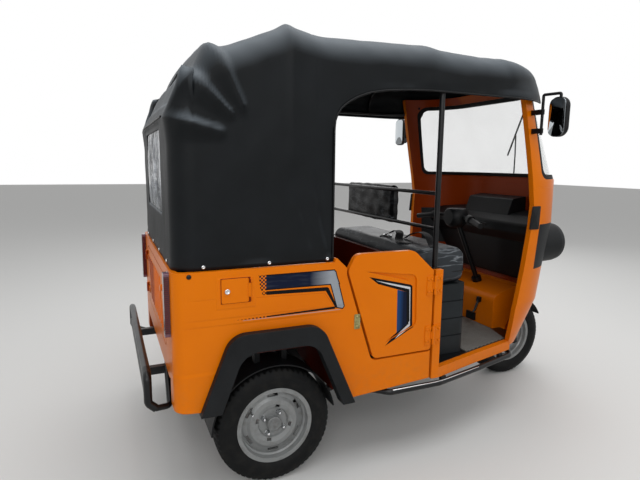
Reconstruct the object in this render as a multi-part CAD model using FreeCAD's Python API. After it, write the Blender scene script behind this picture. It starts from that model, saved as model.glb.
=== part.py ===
import FreeCAD, Part
import math
import os

os.makedirs("parts", exist_ok=True)

Vector = FreeCAD.Vector

# A three-wheeled passenger rickshaw with a folding vinyl hood.
# Millimetres; X forward, Y to the left, Z up; the ground is Z = 0.
# The origin is under the middle of the whole vehicle.

# Driving dimensions of the whole vehicle
wheelbase = 1776
tyre_radius = 254
tyre_width = 145
rear_track = 1004
rear_overhang = 520
guard_gap = 14
guard_wall = 6
front_overhang = tyre_radius
overall_length = rear_overhang + wheelbase + front_overhang
rear_axle_x = rear_overhang - overall_length / 2
front_axle_x = rear_axle_x + wheelbase

# Fits and gaps
seat_gap = 0.3
pin_clearance = 0.5
door_gap = 9
panel_gap = 6

# Tub of the body
body_half_width = 618
side_wall = 25
body_back_x = rear_axle_x - 415
body_corner_radius = 50
corner_panel_y = body_half_width - 118
belt_z = 955
panel_bottom_z = 410
post_bottom_z = 368
rear_panel_bottom_z = 500
sill_height = 50
floor_z = 410
floor_thickness = 25
riser_x = rear_axle_x + 270
riser_wall = 20
deck_z = 620
deck_thickness = 20

# Door, its post and its hinges
door_thickness = 26
door_step = 2
door_back_x = rear_axle_x + 304
door_top_z = 984
door_shoulder_z = 885
door_bottom_z = 509
hinge_x = rear_axle_x + 747
hinge_height = 88
hinge_leaf = 42
hinge_plate = 4
hinge_radius = 7
hinge_standoff = 3
hinge_y = -body_half_width - hinge_standoff - hinge_radius
door_hinges = [535, 772]
knuckle_share = 0.3
post_front_x = rear_axle_x + 795
post_top_z = 885
sill_width = 33
sill_waist_y = body_half_width - 83

# Step bar under each sill
step_bar_z = 333
step_bar_radius = 14

# Tail lamps
tail_lamp_y = body_half_width - 94
tail_lamp_width = 42
tail_lamp_low_z = 700
tail_lamp_high_z = 950
tail_lamp_depth = 21

# Rear hatch
hatch_half_width = body_half_width - 233
hatch_low_z = 606
hatch_high_z = 905
hatch_thickness = 20
hatch_hinge_y = hatch_half_width + panel_gap + 1
hatch_hinge_x = body_back_x - 8
hatch_hinges = [hatch_low_z + 45, hatch_high_z - 75]
hatch_knuckle = 30

# Fuel flap on the right-hand quarter
flap_back_x = rear_axle_x - 232
flap_front_x = rear_axle_x - 120
flap_low_z = 827
flap_high_z = 922
flap_thickness = 4
flap_hinge_y = -body_half_width - 6
flap_hinge_radius = 3

# Rear wheel arch
arch_front_foot_x = rear_axle_x + 335
arch_back_foot_x = rear_axle_x - 315
arch_top_z = 703
flare_width = 78
flare_stand = 32

# Chassis
rail_y = 270
rail_width = 40
rail_height = 45
rail_front_x = rear_axle_x + 1425
rail_rear_x = rear_axle_x - 388
kick_length = 140
neck_depth = 38
guard_foot_z = 440
guard_half_width = body_half_width - 98
guard_top_z = 545
guard_low_bar_z = 462
guard_end_z = 404
guard_radius = 16
guard_brace_radius = 12
guard_brace_z = 392
tow_eye_z = 384
tow_eye_radius = 11
tow_eye_width = 16
pivot_x = rear_axle_x + 360
pivot_z = 305
arm_radius = 18
arm_y = 396
damper_radius = 30
damper_x = rear_axle_x + 75

# Engine block, between the rails
engine_length = 380
engine_half_width = 190
engine_bottom_z = 215
engine_top_z = 500

# Wheels
rim_flange_radius = 166
bead_radius = 152
bead_half_width = 57
flange_wall = 5
disc_radius = 136
hub_radius = 36
hub_cap_radius = 31
shaft_radius = 14
axle_pin_radius = 9
slot_ring_radius = 124
vent_ring_radius = 76
stud_ring_radius = 50
# ring radius, how many, angle of the first, length, width
rim_cuts = [(slot_ring_radius, 6, 30, 48, 14), (vent_ring_radius, 4, 15, 20, 13)]
stud_radius = 9

# Steering head, raked back from the vertical
rake = math.radians(25)
fork_offset = 53
crown_low = 296
crown_height = 26
head_low = 323
head_length = 150
head_tube_radius = 30
stem_radius = 15
bar_height = 900
bar_half_length = 300
bar_radius = 11
grip_radius = 16
grip_length = 120
leg_y = 103
leg_radius = 22
crown_half_width = 128
crown_behind = -34
crown_ahead = fork_offset + 28

# Front shell, as plan sections with a round nose
shell_wall = 30
shell_back_x = rear_axle_x + 1180
fascia_low_z = 820
fascia_high_z = 1060
screen_low_z = 1250
shell_top_z = 1790
nose_flat_half = 200
# z, how much narrower than the body a side, front x ahead of the rear axle
shell_rows = [(385, 146, 1572), (630, 103, 1684), (fascia_low_z, 83, 1703), (fascia_high_z, 68, 1740),
              (1285, 68, 1737), (shell_top_z, 71, 1523)]
# z, half width, corner radius, front x ahead of the rear axle
shell_sections = [(z, body_half_width - narrower, body_half_width - narrower - nose_flat_half, front)
                  for z, narrower, front in shell_rows]
shell_low_z = shell_sections[0][0]
shell_foot_y = shell_sections[0][1] - 9
pillar_waist_x = rear_axle_x + 1375
pillar_waist_z = 1290
pillar_top_x = rear_axle_x + 1272
pillar_lean = (pillar_waist_x - pillar_top_x) / (shell_top_z - pillar_waist_z)
lamp_y = body_half_width - 288
lamp_z = 925
lamp_radius = 98
lamp_nose_x = rear_axle_x + 1790
nacelle_wall = 14
nacelle_root_radius = 122
pillar_width = 70
screen_bottom_z = 1292
screen_head_z = 1745
screen_corner = 55
knee_panel_low_z = 690
seal_width = 22
glass_thickness = 5
tub_half_width = 262
tub_wall = 10
tub_back_x = rear_axle_x + 1440
tub_top_z = 655

# Seats
seat_front_x = rear_axle_x + 1045
seat_back_x = rear_axle_x + 745
seat_box_top_z = 772
seat_box_half_width = body_half_width - 128
driver_cushion_half = seat_box_half_width + 10
cushion_top_z = 955
partition_x = rear_axle_x + 715
partition_top_z = 900

# Poles, rails and hood
pole_x = rear_axle_x + 777
pole_y = body_half_width - 44
pole_radius = 12.5
hood_half_width = body_half_width - 18
hood_skin = 8
hood_back_x = rear_axle_x - 405
hood_front_x = rear_axle_x + 1588
hood_nose_radius = hood_half_width - 180
hood_visor_half = body_half_width - 118
hood_visor_z = 1755
hood_edge_x = rear_axle_x + 240
hood_edge_z = 1672
hood_shoulder = 110
bow_depth = 16
bow_width = 12
window_half_width = body_half_width - 318
window_bottom_z = 1150
window_top_z = 1530
window_lap = 18
window_sheet = 3
rail_line_z = 1686
roof_rail_radius = 11
grab_rail_radius = 9
grab_rail_heights = [1230, 1067]
# x ahead of the rear axle, height of the shoulder, rise to the crown
hood_stations = [(-420, 1500, 14), (-324, 1672, 16), (-236, 1776, 18), (-172, 1790, 20), (63, 1888, 22),
                 (206, 1860, 22), (709, 1876, 22), (809, 1862, 22), (1043, 1850, 22), (1223, 1858, 20),
                 (1640, 1830, 16)]
# z of the nose outline and how far it is drawn back there
nose_rows = [(hood_edge_z, 0), (1790, 51), (1825, 72), (1850, 110), (1930, 400)]
# x of each bow and the foot of its legs
bow_stations = [(rear_axle_x + 63, rail_line_z), (rear_axle_x + 226, belt_z + seat_gap),
                (rear_axle_x + 709, rail_line_z), (rear_axle_x + 1043, rail_line_z)]

# Mirrors
mirror_post_x = rear_axle_x + 1352
mirror_post_y = body_half_width - 20
mirror_head_y = body_half_width + 68
mirror_head_half = 50
mirror_depth = 32
mirror_low_z = 1498
mirror_high_z = 1682
mirror_arm_z = 1700
mirror_arm_radius = 7


# Building blocks

def unit(a, b):
    step = b - a
    return step * (1 / step.Length)


def rounded_edges(points, radii, closed):
    # Straight runs joined by arcs tangent to both runs; a zero radius keeps the corner
    count = len(points)
    starts, ends, arcs = [], [], []
    for i, point in enumerate(points):
        inner = closed or 0 < i < count - 1
        if not inner or radii[i] <= 0:
            starts.append(point)
            ends.append(point)
            arcs.append(None)
            continue
        back = unit(point, points[i - 1])
        ahead = unit(point, points[(i + 1) % count])
        half = back.getAngle(ahead) / 2
        reach = radii[i] / math.tan(half)
        middle = back + ahead
        middle = middle * (1 / middle.Length)
        starts.append(point + back * reach)
        ends.append(point + ahead * reach)
        arcs.append(point + middle * (radii[i] / math.sin(half) - radii[i]))
    edges = []
    for i in range(count):
        if arcs[i] is not None:
            edges.append(Part.Arc(starts[i], arcs[i], ends[i]).toShape())
        following = (i + 1) % count
        if following == 0 and not closed:
            continue
        if (starts[following] - ends[i]).Length > 1e-6:
            edges.append(Part.LineSegment(ends[i], starts[following]).toShape())
    return edges


def plate(corners, place, push):
    # corners: u, v, corner radius
    points = [place(u, v) for u, v, radius in corners]
    radii = [radius for u, v, radius in corners]
    return Part.Face(Part.Wire(rounded_edges(points, radii, True))).extrude(push)


def side_plate(corners, y0, y1):
    return plate(corners, lambda x, z: Vector(x, y0, z), Vector(0, y1 - y0, 0))


def floor_plate(corners, z0, z1):
    return plate(corners, lambda x, y: Vector(x, y, z0), Vector(0, 0, z1 - z0))


def end_plate(corners, x0, x1):
    return plate(corners, lambda y, z: Vector(x0, y, z), Vector(x1 - x0, 0, 0))


def block(x0, x1, y0, y1, z0, z1):
    return Part.makeBox(x1 - x0, y1 - y0, z1 - z0, Vector(x0, y0, z0))


def rounded_box(u0, u1, v0, v1, radius):
    return [(u0, v0, radius), (u1, v0, radius), (u1, v1, radius), (u0, v1, radius)]


def bar(points, radius, bend=40):
    # Round bar along straight runs with tangent bends
    path = [Vector(*point) for point in points]
    edges = rounded_edges(path, [bend] * len(path), False)
    ring = Part.Wire(Part.makeCircle(radius, path[0], unit(path[0], path[1])))
    return Part.Wire(edges).makePipeShell([ring], True, False)


def rod(start, end, radius):
    axis = Vector(*end) - Vector(*start)
    return Part.makeCylinder(radius, axis.Length, Vector(*start), axis)


def turned(profile, centre):
    # profile: radius, distance along Y; a turned piece about the Y line through centre
    points = [centre + Vector(radius, y, 0) for radius, y in profile]
    face = Part.Face(Part.makePolygon(points + points[:1]))
    return face.revolve(centre, Vector(0, 1, 0), 360)


def mirrored(shape):
    return shape.mirror(Vector(0, 0, 0), Vector(0, 1, 0))


def both(shape):
    return [shape, mirrored(shape)]


def fused(shapes):
    whole = shapes[0].fuse(shapes[1:]) if len(shapes) > 1 else shapes[0]
    return whole.removeSplitter()


def save(name, shapes):
    solids = [solid for shape in shapes for solid in shape.Solids]
    shape = solids[0] if len(solids) == 1 else Part.makeCompound(solids)
    if not shape.isValid():
        print("not valid:", name)
    shape.exportStep("parts/" + name + ".step")
    print(name, len(solids), round(shape.Volume / 1000))


# Body tub

def tub_shell(low, high):
    front = shell_back_x + 400
    outer = [(body_back_x, -body_half_width, body_corner_radius), (front, -body_half_width, 0),
             (front, body_half_width, 0), (body_back_x, body_half_width, body_corner_radius)]
    inside_y = body_half_width - side_wall
    inside_x = body_back_x + side_wall
    inside_radius = body_corner_radius - side_wall
    inner = [(inside_x, -inside_y, inside_radius), (front + 1, -inside_y, 0),
             (front + 1, inside_y, 0), (inside_x, inside_y, inside_radius)]
    return floor_plate(outer, low, high).cut(floor_plate(inner, low - 1, high + 1))


def arch_line(inset):
    # The rounded trapezoid over the rear wheel; inset moves it in towards the wheel
    half_top = 170 - 0.55 * inset
    foot = panel_bottom_z - 100
    slope = 0.42
    back = arch_back_foot_x + inset * 1.05
    front = arch_front_foot_x - inset * 0.75
    top = arch_top_z - inset
    back_top = rear_axle_x - 200 + 0.6 * inset
    front_top = rear_axle_x + 178 - 0.3 * inset
    return [(back - slope * (panel_bottom_z - foot), foot, 0), (back_top, top, 90),
            (front_top, top, 90), (front + slope * 30, foot, 0)]


def door_outline(gap):
    # The door in side view, grown by gap: x, z, corner radius
    slant = 0.34
    front = hinge_x - panel_gap - 1 + gap
    return [(door_back_x - gap, door_shoulder_z + 30 - gap * slant, 45 + gap),
            (door_back_x + 38 - gap, door_top_z + gap, 45 + gap),
            (hinge_x - 116 + gap * 0.5, door_top_z + gap, 60 + gap),
            (front, door_shoulder_z + gap * 0.5, 0.1 + gap * 0.5),
            (front, door_bottom_z - gap, 14 + gap),
            (door_back_x + 133 - gap, door_bottom_z - gap, 26 + gap)]


def side_panel():
    # Right-hand quarter with the strip under the door: x, z, corner radius
    tip_x = hood_edge_x + 10
    outline = [(body_back_x - 5, belt_z, 0), (hood_edge_x + 2, belt_z, 0), (tip_x, belt_z + 20, 4),
               (tip_x + 85, belt_z - 60, 60), (hinge_x - panel_gap - 1, belt_z - 120, 0),
               (hinge_x - panel_gap - 1, post_bottom_z, 0), (arch_front_foot_x - 30, post_bottom_z - 26, 0),
               (body_back_x - 5, panel_bottom_z, 0)]
    tip = side_plate(outline, -body_half_width - 1, -corner_panel_y)
    shell = tub_shell(post_bottom_z - 60, belt_z + 60)
    panel = shell.common(tip)
    panel = panel.cut(side_plate(arch_line(0), -body_half_width - 10, -400))
    panel = panel.cut(side_plate(door_outline(door_gap), -body_half_width - 10, -400))
    above = block(door_back_x + 30, hinge_x, -700, -400, door_top_z - 100, 1100)
    return biggest(panel.cut(above))


def biggest(shape):
    return max(shape.Solids, key=lambda solid: solid.Volume)


def rear_panel():
    y = corner_panel_y
    outline = [(-y, rear_panel_bottom_z, 30), (y, rear_panel_bottom_z, 30), (y, belt_z, 0), (-y, belt_z, 0)]
    sheet = end_plate(outline, body_back_x, body_back_x + side_wall)
    opening = end_plate(hatch_outline(panel_gap), body_back_x - 10, body_back_x + side_wall + 10)
    return sheet.cut(opening)


def hatch_outline(gap):
    return rounded_box(-hatch_half_width - gap, hatch_half_width + gap,
                       hatch_low_z - gap, hatch_high_z + gap, 30 + gap)


def rear_hatch():
    sheet = end_plate(hatch_outline(0), body_back_x, body_back_x + hatch_thickness)
    pieces = [sheet]
    rib_count = 9
    for i in range(rib_count):
        y = -hatch_half_width + 110 + i * 62
        rib = [(y - 8, hatch_low_z + 45, 0), (y + 8, hatch_low_z + 45, 0),
               (y + 88, hatch_high_z - 45, 0), (y + 72, hatch_high_z - 45, 0)]
        pieces.append(end_plate(rib, body_back_x - 4, body_back_x))
    latch = Vector(body_back_x - 14, -hatch_half_width + 35, (hatch_low_z + hatch_high_z) / 2 + 90)
    pieces.append(Part.makeCylinder(14, 14, latch, Vector(1, 0, 0)))
    for z in hatch_hinges:
        top = z + hatch_knuckle
        pieces.append(block(body_back_x - 4, body_back_x, hatch_hinge_y - 50, hatch_hinge_y - 6, z, top))
        pieces.append(block(hatch_hinge_x - 3, body_back_x - 1, hatch_hinge_y - 8, hatch_hinge_y, z, top))
        pieces.append(Part.makeCylinder(6, hatch_knuckle, Vector(hatch_hinge_x, hatch_hinge_y, z)))
    return fused(pieces)


def hatch_lugs():
    # Fixed half of each hatch hinge, above the moving knuckle
    pieces = []
    for z in hatch_hinges:
        low = z + hatch_knuckle + pin_clearance
        pieces.append(block(body_back_x - 4, body_back_x, hatch_hinge_y + 8, hatch_hinge_y + 40, z, z + 50))
        pieces.append(block(hatch_hinge_x - 3, body_back_x, hatch_hinge_y, hatch_hinge_y + 10, low, z + 50))
        pieces.append(Part.makeCylinder(6, z + 50 - low, Vector(hatch_hinge_x, hatch_hinge_y, low)))
    return pieces


def tail_lamp():
    outline = rounded_box(-tail_lamp_y - tail_lamp_width, -tail_lamp_y, tail_lamp_low_z, tail_lamp_high_z, 8)
    return end_plate(outline, body_back_x - tail_lamp_depth, body_back_x - seat_gap)


def arch_flare():
    # Outer lip over the arch, filling the edge of the panel
    outer_y = -body_half_width - flare_stand
    whole = side_plate(arch_line(seat_gap), outer_y, -body_half_width + side_wall)
    inner = side_plate(arch_line(flare_width), outer_y - 1, -400)
    feet = block(rear_axle_x - 600, rear_axle_x + 600, -800, -400, 0, 392)
    front_foot = block(rear_axle_x + 100, rear_axle_x + 600, -800, -400, 0, 335)
    flare = whole.cut(inner)
    back = flare.common(block(rear_axle_x - 600, rear_axle_x, -800, -400, 0, 900)).cut(feet)
    front = flare.common(block(rear_axle_x, rear_axle_x + 600, -800, -400, 0, 900)).cut(front_foot)
    return fused([back, front])


def rear_mudguard():
    # Curved sheet over the rear tyre, hung from the deck
    inner = tyre_radius + guard_gap
    outer = inner + guard_wall
    centre = Vector(rear_axle_x, -rear_track / 2 - tyre_width / 2, tyre_radius)
    width = tyre_width + 8
    ring = Part.makeCylinder(outer, width, centre, Vector(0, 1, 0))
    ring = ring.cut(Part.makeCylinder(inner, width, centre, Vector(0, 1, 0)))
    keep = side_plate([(rear_axle_x, tyre_radius - 60, 0), (rear_axle_x - 420, 300, 0),
                       (rear_axle_x - 300, 700, 0), (rear_axle_x + 300, 700, 0),
                       (rear_axle_x + 420, 360, 0)], -700, -300)
    sheet = ring.common(keep)
    stay_y = -rear_track / 2 + 20
    stays = [block(rear_axle_x + x - 12, rear_axle_x + x + 12, stay_y - 20, stay_y + 20,
                   tyre_radius + inner - 20, deck_z - deck_thickness) for x in (-60, 60)]
    core = Part.makeCylinder(inner, width, centre, Vector(0, 1, 0))
    return fused([sheet] + [stay.cut(core) for stay in stays])


# Sill and hinge post

def sill_line():
    # Outer edge of the step in plan, right side: x, y
    return [(hinge_x + panel_gap + 1, -body_half_width), (post_front_x, -body_half_width),
            (rear_axle_x + 1100, -sill_waist_y), (rear_axle_x + 1385, -shell_foot_y)]


def side_sill():
    outer = sill_line()
    inner = [(x, y + sill_width) for x, y in outer]
    inner[0] = (outer[0][0], -body_half_width + side_wall)
    inner[1] = (post_front_x, -body_half_width + sill_width)
    plan = [(x, y, 0) for x, y in outer + inner[::-1]]
    sill = floor_plate(plan, floor_z - sill_height, floor_z)
    post = block(outer[0][0], post_front_x, -body_half_width, -body_half_width + side_wall,
                 post_bottom_z, post_top_z)
    pieces = [sill, post]
    for z in door_hinges:
        pieces += fixed_hinge(z)
    return biggest(fused(pieces).cut(front_wall(shell_low_z, fascia_low_z)))


def fixed_hinge(z):
    end = hinge_height * knuckle_share - pin_clearance
    pieces = [block(hinge_x + hinge_radius + 1, hinge_x + hinge_leaf, -body_half_width - hinge_plate,
                    -body_half_width, z, z + hinge_height)]
    for base in (z, z + hinge_height - end):
        pieces.append(Part.makeCylinder(hinge_radius, end, Vector(hinge_x, hinge_y, base)))
        pieces.append(block(hinge_x, hinge_x + hinge_radius + 3, hinge_y, -body_half_width, base, base + end))
    return pieces


def moving_hinge(z):
    end = hinge_height * knuckle_share
    low = z + end
    height = hinge_height - 2 * end
    face = -body_half_width - door_step
    leaf = block(hinge_x - hinge_leaf, hinge_x - 8, face - hinge_plate, face, z, z + hinge_height)
    lug = block(hinge_x - 12, hinge_x, hinge_y, face, low, low + height)
    knuckle = Part.makeCylinder(hinge_radius, height, Vector(hinge_x, hinge_y, low))
    return [leaf, lug, knuckle]


def door():
    face = -body_half_width - door_step
    slab = side_plate(door_outline(0), face, face + door_thickness)
    recess = side_plate(door_recess(), face - 1, face + 8)
    pieces = [slab.cut(recess)]
    for z in door_hinges:
        pieces += moving_hinge(z)
    catch = block(door_back_x + 92, door_back_x + 130, face + door_thickness, face + door_thickness + 18, 690, 720)
    return fused(pieces + [catch])


def door_recess():
    # Pressed C-shaped channel: x, z, corner radius
    x = door_back_x
    return [(x + 90, 905, 0), (x + 345, 872, 30), (x + 352, 640, 30), (x + 190, 575, 0),
            (x + 318, 660, 24), (x + 312, 846, 24)]


def fuel_flap():
    # Small door over the filler, on the right-hand quarter
    face = -body_half_width - seat_gap
    outline = rounded_box(flap_back_x, flap_front_x - 6, flap_low_z, flap_high_z, 6)
    sheet = side_plate(outline, face - flap_thickness, face)
    lock = Part.makeCylinder(10, 3, Vector(flap_back_x + 23, face - flap_thickness - 3, flap_low_z + 48),
                             Vector(0, 1, 0))
    tab = block(flap_front_x - 8, flap_front_x, flap_hinge_y - 1, face - 1, flap_low_z + 20, flap_high_z - 20)
    knuckle = Part.makeCylinder(flap_hinge_radius, flap_high_z - flap_low_z - 40,
                                Vector(flap_front_x, flap_hinge_y, flap_low_z + 20))
    return fused([sheet, lock, tab, knuckle])


def flap_lugs():
    pieces = []
    for z in (flap_low_z + 5, flap_high_z - 19):
        pieces.append(Part.makeCylinder(flap_hinge_radius, 14, Vector(flap_front_x, flap_hinge_y, z)))
        pieces.append(block(flap_front_x, flap_front_x + 8, flap_hinge_y, -body_half_width, z, z + 14))
    return pieces


# Floor, deck and chassis

def floor_pan():
    inner = [(x, y + sill_width) for x, y in sill_line()]
    inner[0] = (hinge_x, -body_half_width + side_wall)
    inner[1] = (post_front_x, -body_half_width + sill_width)
    right = [(riser_x, -body_half_width + side_wall), (hinge_x + panel_gap + 1, -body_half_width + side_wall),
             (hinge_x + panel_gap + 1, inner[1][1]), inner[1], inner[2], inner[3],
             (tub_back_x + 60, -340), (tub_back_x + 60, -tub_half_width), (tub_back_x, -tub_half_width)]
    left = [(x, -y) for x, y in right[::-1]]
    pan = floor_plate([(x, y, 0) for x, y in right + left], floor_z - floor_thickness, floor_z)
    return biggest(pan.cut(front_wall(shell_low_z, shell_top_z)))


def floor_mat():
    # Ribbed rubber mat on the driver's floor
    thickness = 4
    back = seat_front_x + 6
    right = [(back, sill_inner_y(back) + 8), (rear_axle_x + 1100, sill_inner_y(rear_axle_x + 1100) + 8),
             (tub_back_x - 60, sill_inner_y(tub_back_x - 60) + 8), (tub_back_x - 12, -tub_half_width)]
    left = [(x, -y) for x, y in right[::-1]]
    return floor_plate([(x, y, 0) for x, y in right + left], floor_z, floor_z + thickness)


def sill_inner_y(x):
    line = sill_line()
    for (x0, y0), (x1, y1) in zip(line[1:], line[2:]):
        if x <= x1:
            return y0 + (y1 - y0) * (x - x0) / (x1 - x0) + sill_width
    return line[-1][1] + sill_width


def seat_base():
    # Riser and deck that carry the passenger bench, over the engine
    y = body_half_width - side_wall
    back = body_back_x + side_wall
    riser = block(riser_x - riser_wall, riser_x, -y, y, floor_z - floor_thickness, deck_z)
    corner = body_corner_radius - side_wall
    outline = [(back, -y, corner), (riser_x - riser_wall, -y, 0), (riser_x - riser_wall, y, 0), (back, y, corner)]
    return fused([riser, floor_plate(outline, deck_z - deck_thickness, deck_z)])


def chassis():
    low = floor_z - floor_thickness - rail_height
    under_floor = floor_z - floor_thickness
    under_deck = deck_z - deck_thickness
    kick_front = riser_x - riser_wall
    kick_rear = kick_front - kick_length
    run = [(rail_front_x, low, 0), (rail_front_x, under_floor, 0), (kick_front, under_floor, 0),
           (kick_rear, under_deck, 0), (rail_rear_x, under_deck, 0),
           (rail_rear_x, under_deck - rail_height, 0), (kick_rear - 20, under_deck - rail_height, 0),
           (kick_front - 20, low, 0)]
    pieces = both(side_plate(run, rail_y - rail_width / 2, rail_y + rail_width / 2))
    cross_half = rail_y - rail_width / 2
    # x of each low cross member
    for x in (rail_front_x - rail_width, rear_axle_x + 760, pivot_x - rail_width / 2):
        pieces.append(block(x, x + rail_width, -cross_half, cross_half, low, under_floor))
    # x of each cross member under the deck
    for x in (rear_axle_x + 70, rear_axle_x - 150, rail_rear_x):
        pieces.append(block(x, x + rail_width, -cross_half, cross_half, under_deck - rail_height, under_deck))
    # outriggers under the floor
    outer = body_half_width - side_wall
    for x in (rear_axle_x + 720, pivot_x - rail_width / 2):
        for side in (-1, 1):
            y0, y1 = sorted((side * (rail_y + rail_width / 2), side * (outer - 5)))
            pieces.append(block(x, x + 30, y0, y1, under_floor - 30, under_floor))
    # engine hangers
    for x in (rear_axle_x + 70, rear_axle_x - 150):
        for y in (-120, 120):
            pieces.append(block(x, x + rail_width, y - 20, y + 20, engine_top_z, under_deck - rail_height))
    # hangers of the rear guard
    for y in (-rail_y, rail_y):
        pieces.append(block(rail_rear_x, rail_rear_x + 24, y - 14, y + 14, guard_foot_z, under_deck - rail_height))
    # pivot plates of the trailing arms
    for side in (-1, 1):
        y0, y1 = sorted((side * (rail_y - rail_width / 2), side * (rail_y + rail_width / 2)))
        pieces.append(block(pivot_x - 30, pivot_x + 30, y0, y1, pivot_z - 30, low))
    pieces += steering_head()
    # towing eye under the rear cross member
    eye_x = rail_rear_x + rail_width / 2
    plate_outline = [(eye_x - 20, under_deck - rail_height, 0), (eye_x - 20, tow_eye_z - 22, 16),
                     (eye_x + 20, tow_eye_z - 22, 16), (eye_x + 20, under_deck - rail_height, 0)]
    eye = side_plate(plate_outline, -tow_eye_width / 2, tow_eye_width / 2)
    hole = rod((eye_x, -tow_eye_width, tow_eye_z), (eye_x, tow_eye_width, tow_eye_z), tow_eye_radius)
    pieces.append(eye.cut(hole))
    return fused(pieces)


def axis_point(along):
    # Point on the steering axis, measured up from the foot below the front axle
    foot = Vector(front_axle_x - fork_offset * math.cos(rake), 0, tyre_radius - fork_offset * math.sin(rake))
    return foot + axis_direction() * along


def axis_direction():
    return Vector(-math.sin(rake), 0, math.cos(rake))


def fork_ahead():
    return Vector(math.cos(rake), 0, math.sin(rake))


def steering_head():
    tube = Part.makeCylinder(head_tube_radius, head_length, axis_point(head_low), axis_direction())
    bore = Part.makeCylinder(stem_radius + pin_clearance, head_length + 20, axis_point(head_low - 10),
                             axis_direction())
    low = floor_z - floor_thickness - rail_height
    top = axis_point(head_low + head_length * 0.6)
    bottom = axis_point(head_low + head_length * 0.12)
    back = tub_back_x + tub_wall + seat_gap
    front = back + neck_depth
    neck = [(rail_front_x - 20, low, 0), (front, low, 0), (front, 480, 50), (bottom.x, bottom.z, 0),
            (top.x, top.z, 0), (back, top.z - 40, 30), (back, low + rail_height, 0),
            (rail_front_x - 20, low + rail_height, 0)]
    web = side_plate(neck, -28, 28)
    return [web.fuse(tube).cut(bore)]


def engine():
    x0 = rear_axle_x - engine_length / 2 + 20
    body = block(x0, x0 + engine_length, -engine_half_width, engine_half_width, engine_bottom_z, engine_top_z)
    edges = [edge for edge in body.Edges if abs(edge.tangentAt(edge.FirstParameter).y) > 0.9]
    return body.makeFillet(40, edges)


def rear_suspension():
    # Trailing arm, wheel carrier and spring leg of the right side
    carrier_length = 40
    axle = Vector(rear_axle_x, -arm_y - carrier_length / 2, tyre_radius)
    carrier = Part.makeCylinder(48, carrier_length, axle, Vector(0, 1, 0))
    arm = bar([(rear_axle_x + 20, -arm_y, tyre_radius + 4), (pivot_x - 60, -arm_y, pivot_z - 16),
               (pivot_x, -arm_y, pivot_z)], arm_radius, 60)
    pivot = rod((pivot_x, -rail_y - rail_width / 2, pivot_z), (pivot_x, -arm_y - 24, pivot_z), 24)
    foot_z = tyre_radius + 22
    top_z = deck_z - deck_thickness
    spring = rod((damper_x, -arm_y + 8, foot_z + 35), (damper_x, -arm_y + 8, top_z - 40), damper_radius)
    strut = rod((damper_x, -arm_y + 8, foot_z - 10), (damper_x, -arm_y + 8, top_z), 11)
    bore = rod((rear_axle_x, -600, tyre_radius), (rear_axle_x, 0, tyre_radius), shaft_radius + pin_clearance)
    return fused([carrier, arm, pivot, spring, strut]).cut(bore)


# Wheels, built about the origin with the outer face towards +Y

def tyre():
    half = tyre_width / 2
    edge = bead_half_width

    def at(radius, y):
        return Vector(radius, y, 0)

    inner = bead_radius + seat_gap
    upper = [Part.LineSegment(at(inner, 0), at(inner, edge)).toShape(),
             Part.LineSegment(at(inner, edge), at(rim_flange_radius + 2, edge)).toShape(),
             Part.Arc(at(rim_flange_radius + 2, edge), at(206, half), at(tyre_radius - 14, half - 10)).toShape(),
             Part.Arc(at(tyre_radius - 14, half - 10), at(tyre_radius - 4, half - 16),
                      at(tyre_radius, half - 28)).toShape(),
             Part.LineSegment(at(tyre_radius, half - 28), at(tyre_radius, 0)).toShape()]
    lower = [edge_shape.mirror(Vector(0, 0, 0), Vector(0, 1, 0)) for edge_shape in upper]
    outline = Part.Wire(Part.__sortEdges__(upper + lower))
    return Part.Face(outline).revolve(Vector(0, 0, 0), Vector(0, 1, 0), 360)


def rim(hub_inner, shaft_inner):
    # Pressed disc and rolled barrel; hub_inner and shaft_inner are how far they run inboard
    lip = bead_half_width + seat_gap
    barrel = [(bead_radius, -lip), (bead_radius, lip), (rim_flange_radius, lip),
              (rim_flange_radius, lip + flange_wall), (bead_radius - 4, lip + flange_wall),
              (bead_radius - 8, 40), (disc_radius + 2, 34), (disc_radius - 2, 10), (disc_radius - 2, -20),
              (bead_radius - 8, -40), (bead_radius - 8, -lip - flange_wall),
              (rim_flange_radius, -lip - flange_wall), (rim_flange_radius, -lip)]
    disc = [(20, 26), (62, 26), (68, 34), (86, 40), (104, 38), (116, 30), (disc_radius, 24),
            (disc_radius, 16), (114, 22), (102, 31), (86, 33), (70, 27), (62, 18), (20, 18)]
    zero = Vector(0, 0, 0)
    whole = turned(barrel, zero).fuse(turned(disc, zero))
    for ring, count, first, length, width in rim_cuts:
        for i in range(count):
            slot = Part.makeBox(width, 80, length, Vector(ring - width / 2, -5, -length / 2))
            slot.rotate(zero, Vector(0, 1, 0), first + i * 360 / count)
            whole = whole.cut(slot)
    hub = Part.makeCylinder(hub_radius, hub_inner + 22, Vector(0, -hub_inner, 0), Vector(0, 1, 0))
    cap = Part.makeCylinder(hub_cap_radius, 26, Vector(0, 20, 0), Vector(0, 1, 0))
    pieces = [whole, hub, cap]
    for i in range(4):
        angle = math.radians(60 + 90 * i)
        at = Vector(stud_ring_radius * math.cos(angle), 20, stud_ring_radius * math.sin(angle))
        pieces.append(Part.makeCylinder(stud_radius, 18, at, Vector(0, 1, 0)))
    if shaft_inner:
        pieces.append(Part.makeCylinder(shaft_radius, shaft_inner, Vector(0, -shaft_inner, 0), Vector(0, 1, 0)))
    return fused(pieces)


def placed(shape, x, y):
    copy = shape.copy()
    copy.translate(Vector(x, y, tyre_radius))
    return copy


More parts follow.
